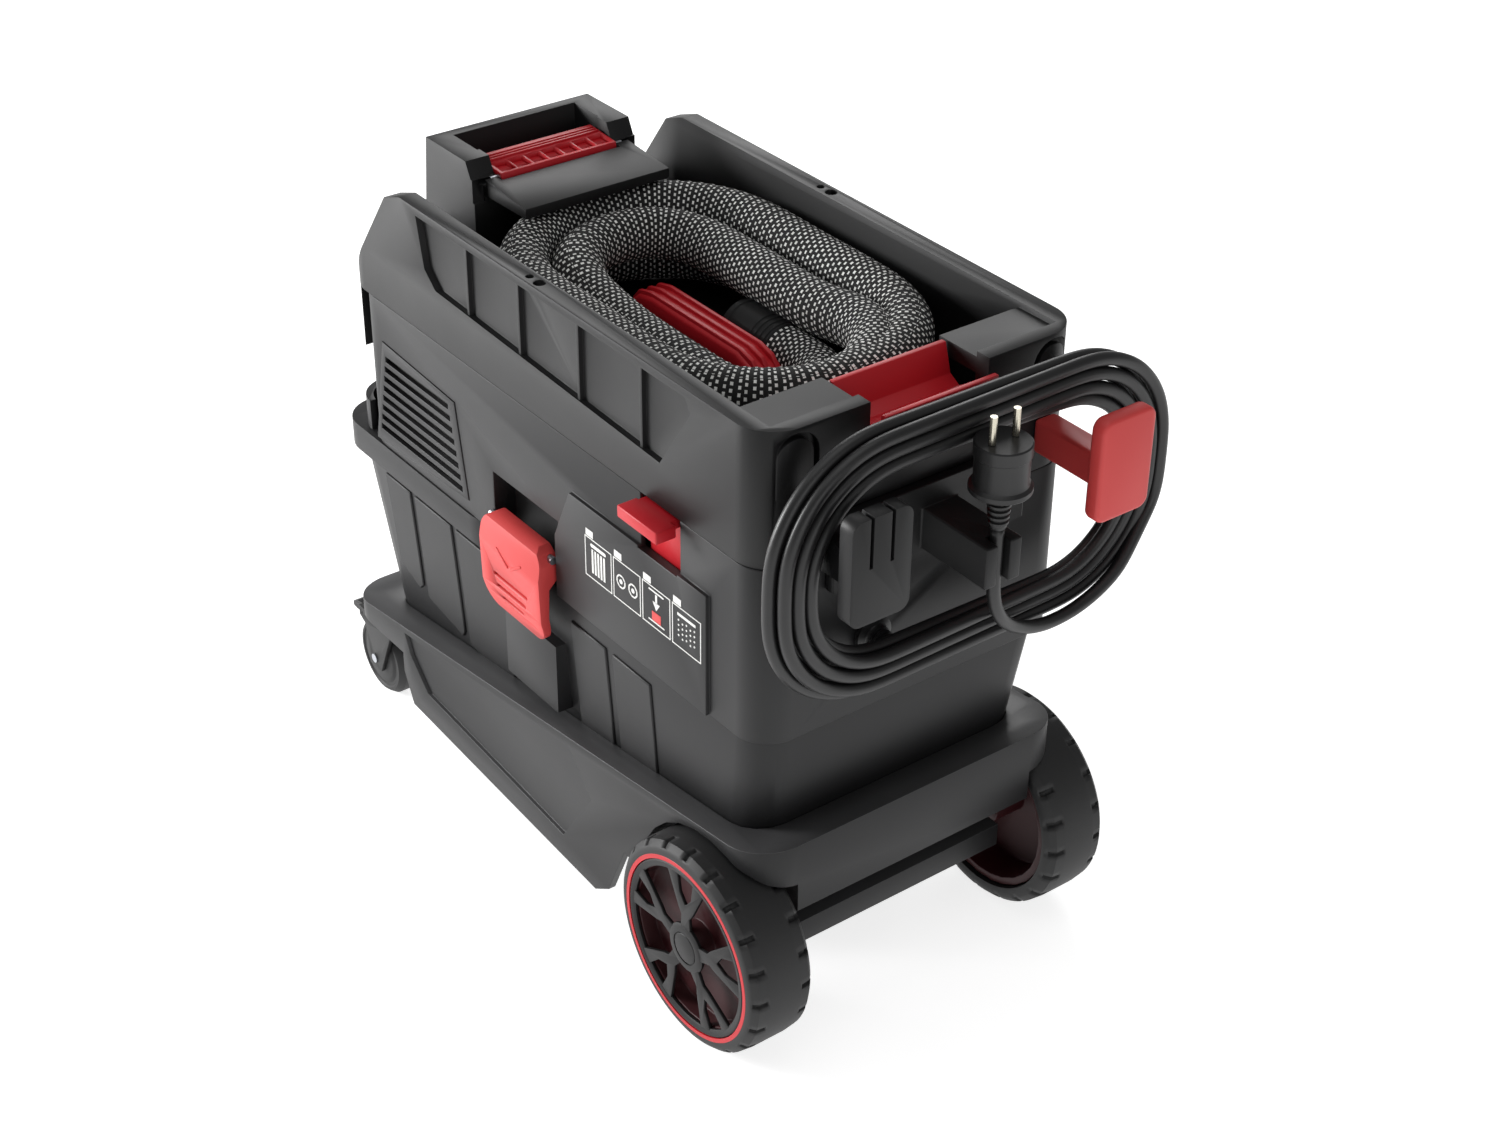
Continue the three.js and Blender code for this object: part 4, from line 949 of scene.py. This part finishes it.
cutters = corner_cutters(1) + corner_cutters(-1)
cutters += [plate("groove", capsule(clip_x, clip_z + up, half, GROOVE_RADIUS), clip_y - 6, clip_y + reach,
                  red_painted_light) for up, half, reach in GROOVES]
for cutter in cutters:
    other_cutter = mirrored(cutter, "other_cutter")
    cut_from(mouldings["side_latch_left"], cutter)
    cut_from(mouldings["side_latch_right"], other_cutter)
marks = joined("latch_marks_left", [
    plate("mark", capsule(clip_x + side * 9, clip_z + CHEVRON_UP, 8, 1.1, side * CHEVRON_TILT), clip_y - 0.5,
          clip_y + 3, red_painted_light, 0.3) for side in (-1, 1)])
other_marks = mirrored(marks, "latch_marks_right")
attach(marks, "clip_left")
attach(other_marks, "clip_right")
print("latches grooved")

# %% [markdown]
# A strip of four pictures is printed on the near panel beside the latch, to show how the filter is shaken
# clean. The pictures here are plain signs of our own: a filter, two turning marks, a press and falling
# dust.

# %% Printed pictures
PRINT_Y = -133.25
PRINT_DEPTH = 0.3
STRIP_X0 = 53.0
FRAME_WIDTH = 32.0
FRAME_PITCH = 34.0
FRAME_Z0 = 297.0
FRAME_Z1 = 329.0
LINE = 0.8


def printed(points):
    """A thin printed patch on the near panel."""
    return plate("print", points, PRINT_Y, PRINT_Y + PRINT_DEPTH, white_ink)


PICTURES = 4
TAB_START = 1.4
TAB_END = 10.0
TAB_GAP = 0.8
TAB_TOP = 6.0
MARK_Z = 313.0
print_parts = []
for place in range(PICTURES):
    x0 = STRIP_X0 + FRAME_PITCH * place
    x1 = x0 + FRAME_WIDTH
    print_parts += [printed(block(x0, x1, FRAME_Z0, FRAME_Z0 + LINE)),
                    printed(block(x0, x1, FRAME_Z1 - LINE, FRAME_Z1)),
                    printed(block(x0, x0 + LINE, FRAME_Z0 + LINE, FRAME_Z1 - LINE)),
                    printed(block(x1 - LINE, x1, FRAME_Z0 + LINE, FRAME_Z1 - LINE)),
                    printed(block(x0 + TAB_START, x0 + TAB_END, FRAME_Z1 + TAB_GAP, FRAME_Z1 + TAB_TOP))]
    middle = (x0 + x1) / 2
    if place == 0:  # the filter: five pleats under a cap
        print_parts += [printed(block(middle + d - 1, middle + d + 1, 302, 321))
                        for d in (-7, -3.5, 0, 3.5, 7)]
        print_parts.append(printed(capsule(middle, 324, 8, 1.3)))
    if place == 1:  # two turning marks: eight short strokes about a dot
        for centre in (middle - 7, middle + 7):
            print_parts += [printed(capsule(centre + 4.6 * math.cos(a), MARK_Z + 4.6 * math.sin(a), 1.4, 0.6,
                                            a + math.pi / 2))
                            for a in (2 * math.pi * i / 8 for i in range(8))]
            print_parts.append(printed(ring_outline(centre, MARK_Z, 1.8)))
    if place == 2:  # a press: an arrow down between two lines
        print_parts += [printed(block(middle - 1, middle + 1, 317, 324)),
                        printed([(middle - 4, 317.5), (middle, 311.5), (middle + 4, 317.5)]),
                        printed(block(middle - 9, middle + 9, 301, 302)),
                        printed(capsule(middle, 325.5, 8, 0.6))]
    if place == 3:  # falling dust: rows of dots under a bar
        print_parts += [printed(block(middle - 10, middle + 10, 322, 324))]
        for column in range(5):
            for row in range(4):
                dot_z = 318.5 - 4.0 * row - 1.4 * (column % 2)
                print_parts.append(printed(ring_outline(middle + 4.4 * column - 8.8, dot_z, 0.8, 8)))
pictures = joined("picture_strip", print_parts)
press_x0 = STRIP_X0 + 2 * FRAME_PITCH
accent = plate("picture_accent", block(press_x0 + 11, press_x0 + 21, 302.5, 309.5),
               PRINT_Y, PRINT_Y + PRINT_DEPTH, red_painted_light)
for piece, slot in ((pictures, "charcoal_plastic"), (accent, "red_plastic")):
    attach(piece, "head")
print("pictures:", len(pictures.data.polygons), "faces")

# %% [markdown]
# The front flap is lightened by a row of open cells along its rear edge, with three low ribs ahead of them.
# The carry handle has three long ribs along its grip.

# %% Flap cells and handle ribs
_, flap_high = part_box("front_flap")
flap_x = flap_high.x / MM
flap_top = flap_high.z / MM
flap_half = flap_high.y / MM - 1.6
CELLS = 7
CELL_X = (-18.5, -3.6)
CELL_DEPTH = 5
CELL_WALL = 0.8
FLAP_RIBS = 3
RIB_PITCH = 3.8
RIB_X = (-23, -21.2)
RIB_RISE = 0.9
pitch = 2 * flap_half / CELLS
pockets = joined("pockets", [
    plate("pocket", block(flap_x + CELL_X[0], flap_x + CELL_X[1], flap_top - CELL_DEPTH, flap_top + 4),
          pitch * i - flap_half + CELL_WALL, pitch * (i + 1) - flap_half - CELL_WALL, red)
    for i in range(CELLS)])
cut_from(mouldings["front_flap"], pockets)
ribs = joined("front_flap_ribs", [
    plate("rib", block(flap_x + RIB_X[0] - RIB_PITCH * i, flap_x + RIB_X[1] - RIB_PITCH * i, flap_top - 2,
                       flap_top + RIB_RISE), -flap_half, flap_half, red, 0.4) for i in range(FLAP_RIBS)])
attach(ribs, "flap")
grip_low, grip_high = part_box("carry_handle")
grip_top = grip_high.z / MM
grip_x0 = grip_low.x / MM
grip_x1 = grip_high.x / MM
rib_line = [(grip_x0 + 6, -10, 0), (grip_x0 + 14, -2, 1), (grip_x0 + 28, 0, 2.4), (grip_x1 - 28, 0, 2.4),
            (grip_x1 - 14, -2, 1), (grip_x1 - 6, -10, 0), (grip_x1 - 12, -11, 0), (grip_x1 - 22, -5, 0),
            (grip_x0 + 22, -5, 0), (grip_x0 + 12, -11, 0)]
grip_ribs = joined("carry_handle_ribs", [
    plate("rib", [(x, z + grip_top + up) for x, z, up in rib_line], y - 1.7, y + 1.7, red, 0.7)
    for y in (-8.2, 0, 8.2)])
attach(grip_ribs, "head")
print("cells and ribs made")

# %% [markdown]
# A dark baffle stands behind each vent, so that no daylight shows through the slots from side to side.

# %% Vent baffles
BAFFLE_GAP = 4
BAFFLE_THICK = 2
vent_low, vent_high = (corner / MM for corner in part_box("vent_grille_left"))
baffle = plate("vent_baffle_left", block(vent_low.x + 1, vent_high.x - 1, vent_low.z + 1, vent_high.z - 1),
               vent_high.y + BAFFLE_GAP, vent_high.y + BAFFLE_GAP + BAFFLE_THICK, black, 0.5)
other_baffle = mirrored(baffle, "vent_baffle_right")
for piece in (baffle, other_baffle):
    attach(piece, "head")
print("baffles made")

# %% Floor and light
FLOOR_SIZE = 14
FLOOR_GLOW = 0.76
SKY_STRENGTH = 0.26
# Each softbox: its place, what it faces, its width and its power in watts.
SOFTBOXES = {
    "key": ((-2.1, -2.0, 0.9), (-0.2, 0, 0.34), 1.0, 100),
    "camera_side": ((2.3, -0.6, 0.9), (0, 0, 0.3), 1.0, 6),
    "back_sheen": ((-2.2, 1.6, 1.7), (0, 0, 0.4), 1.4, 26),
    "top": ((0.3, -0.4, 3.0), (0, 0, 0.3), 2.4, 18)}


def soft_light(name, place, target, size, watts):
    """A square softbox that faces its target."""
    data = bpy.data.lights.new(name, "AREA")
    data.size = size
    data.energy = watts
    light = bpy.data.objects.new(name, data)
    bpy.context.scene.collection.objects.link(light)
    light.location = place
    light.rotation_euler = (Vector(target) - Vector(place)).to_track_quat("-Z", "Y").to_euler()
    return light


deselect_all()
bpy.ops.mesh.primitive_plane_add(size=FLOOR_SIZE, location=(0, 0, 0))
floor = bpy.context.object
floor.name = "floor"
floor_finish, _, floor_shader = new_finish("pale_studio_floor")
set_shader(floor_shader, Base_Color=linear("#dedede"), Roughness=0.9, Emission_Color=linear("#ffffff"),
           Emission_Strength=FLOOR_GLOW)
floor.data.materials.append(floor_finish)
for name, (place, target, size, watts) in SOFTBOXES.items():
    soft_light(name, place, target, size, watts)
world = bpy.data.worlds.new("studio")
bpy.context.scene.world = world
world.use_nodes = True
world.node_tree.nodes["Background"].inputs["Color"].default_value = linear("#ffffff")
world.node_tree.nodes["Background"].inputs["Strength"].default_value = SKY_STRENGTH
bpy.context.scene.view_settings.view_transform = "Standard"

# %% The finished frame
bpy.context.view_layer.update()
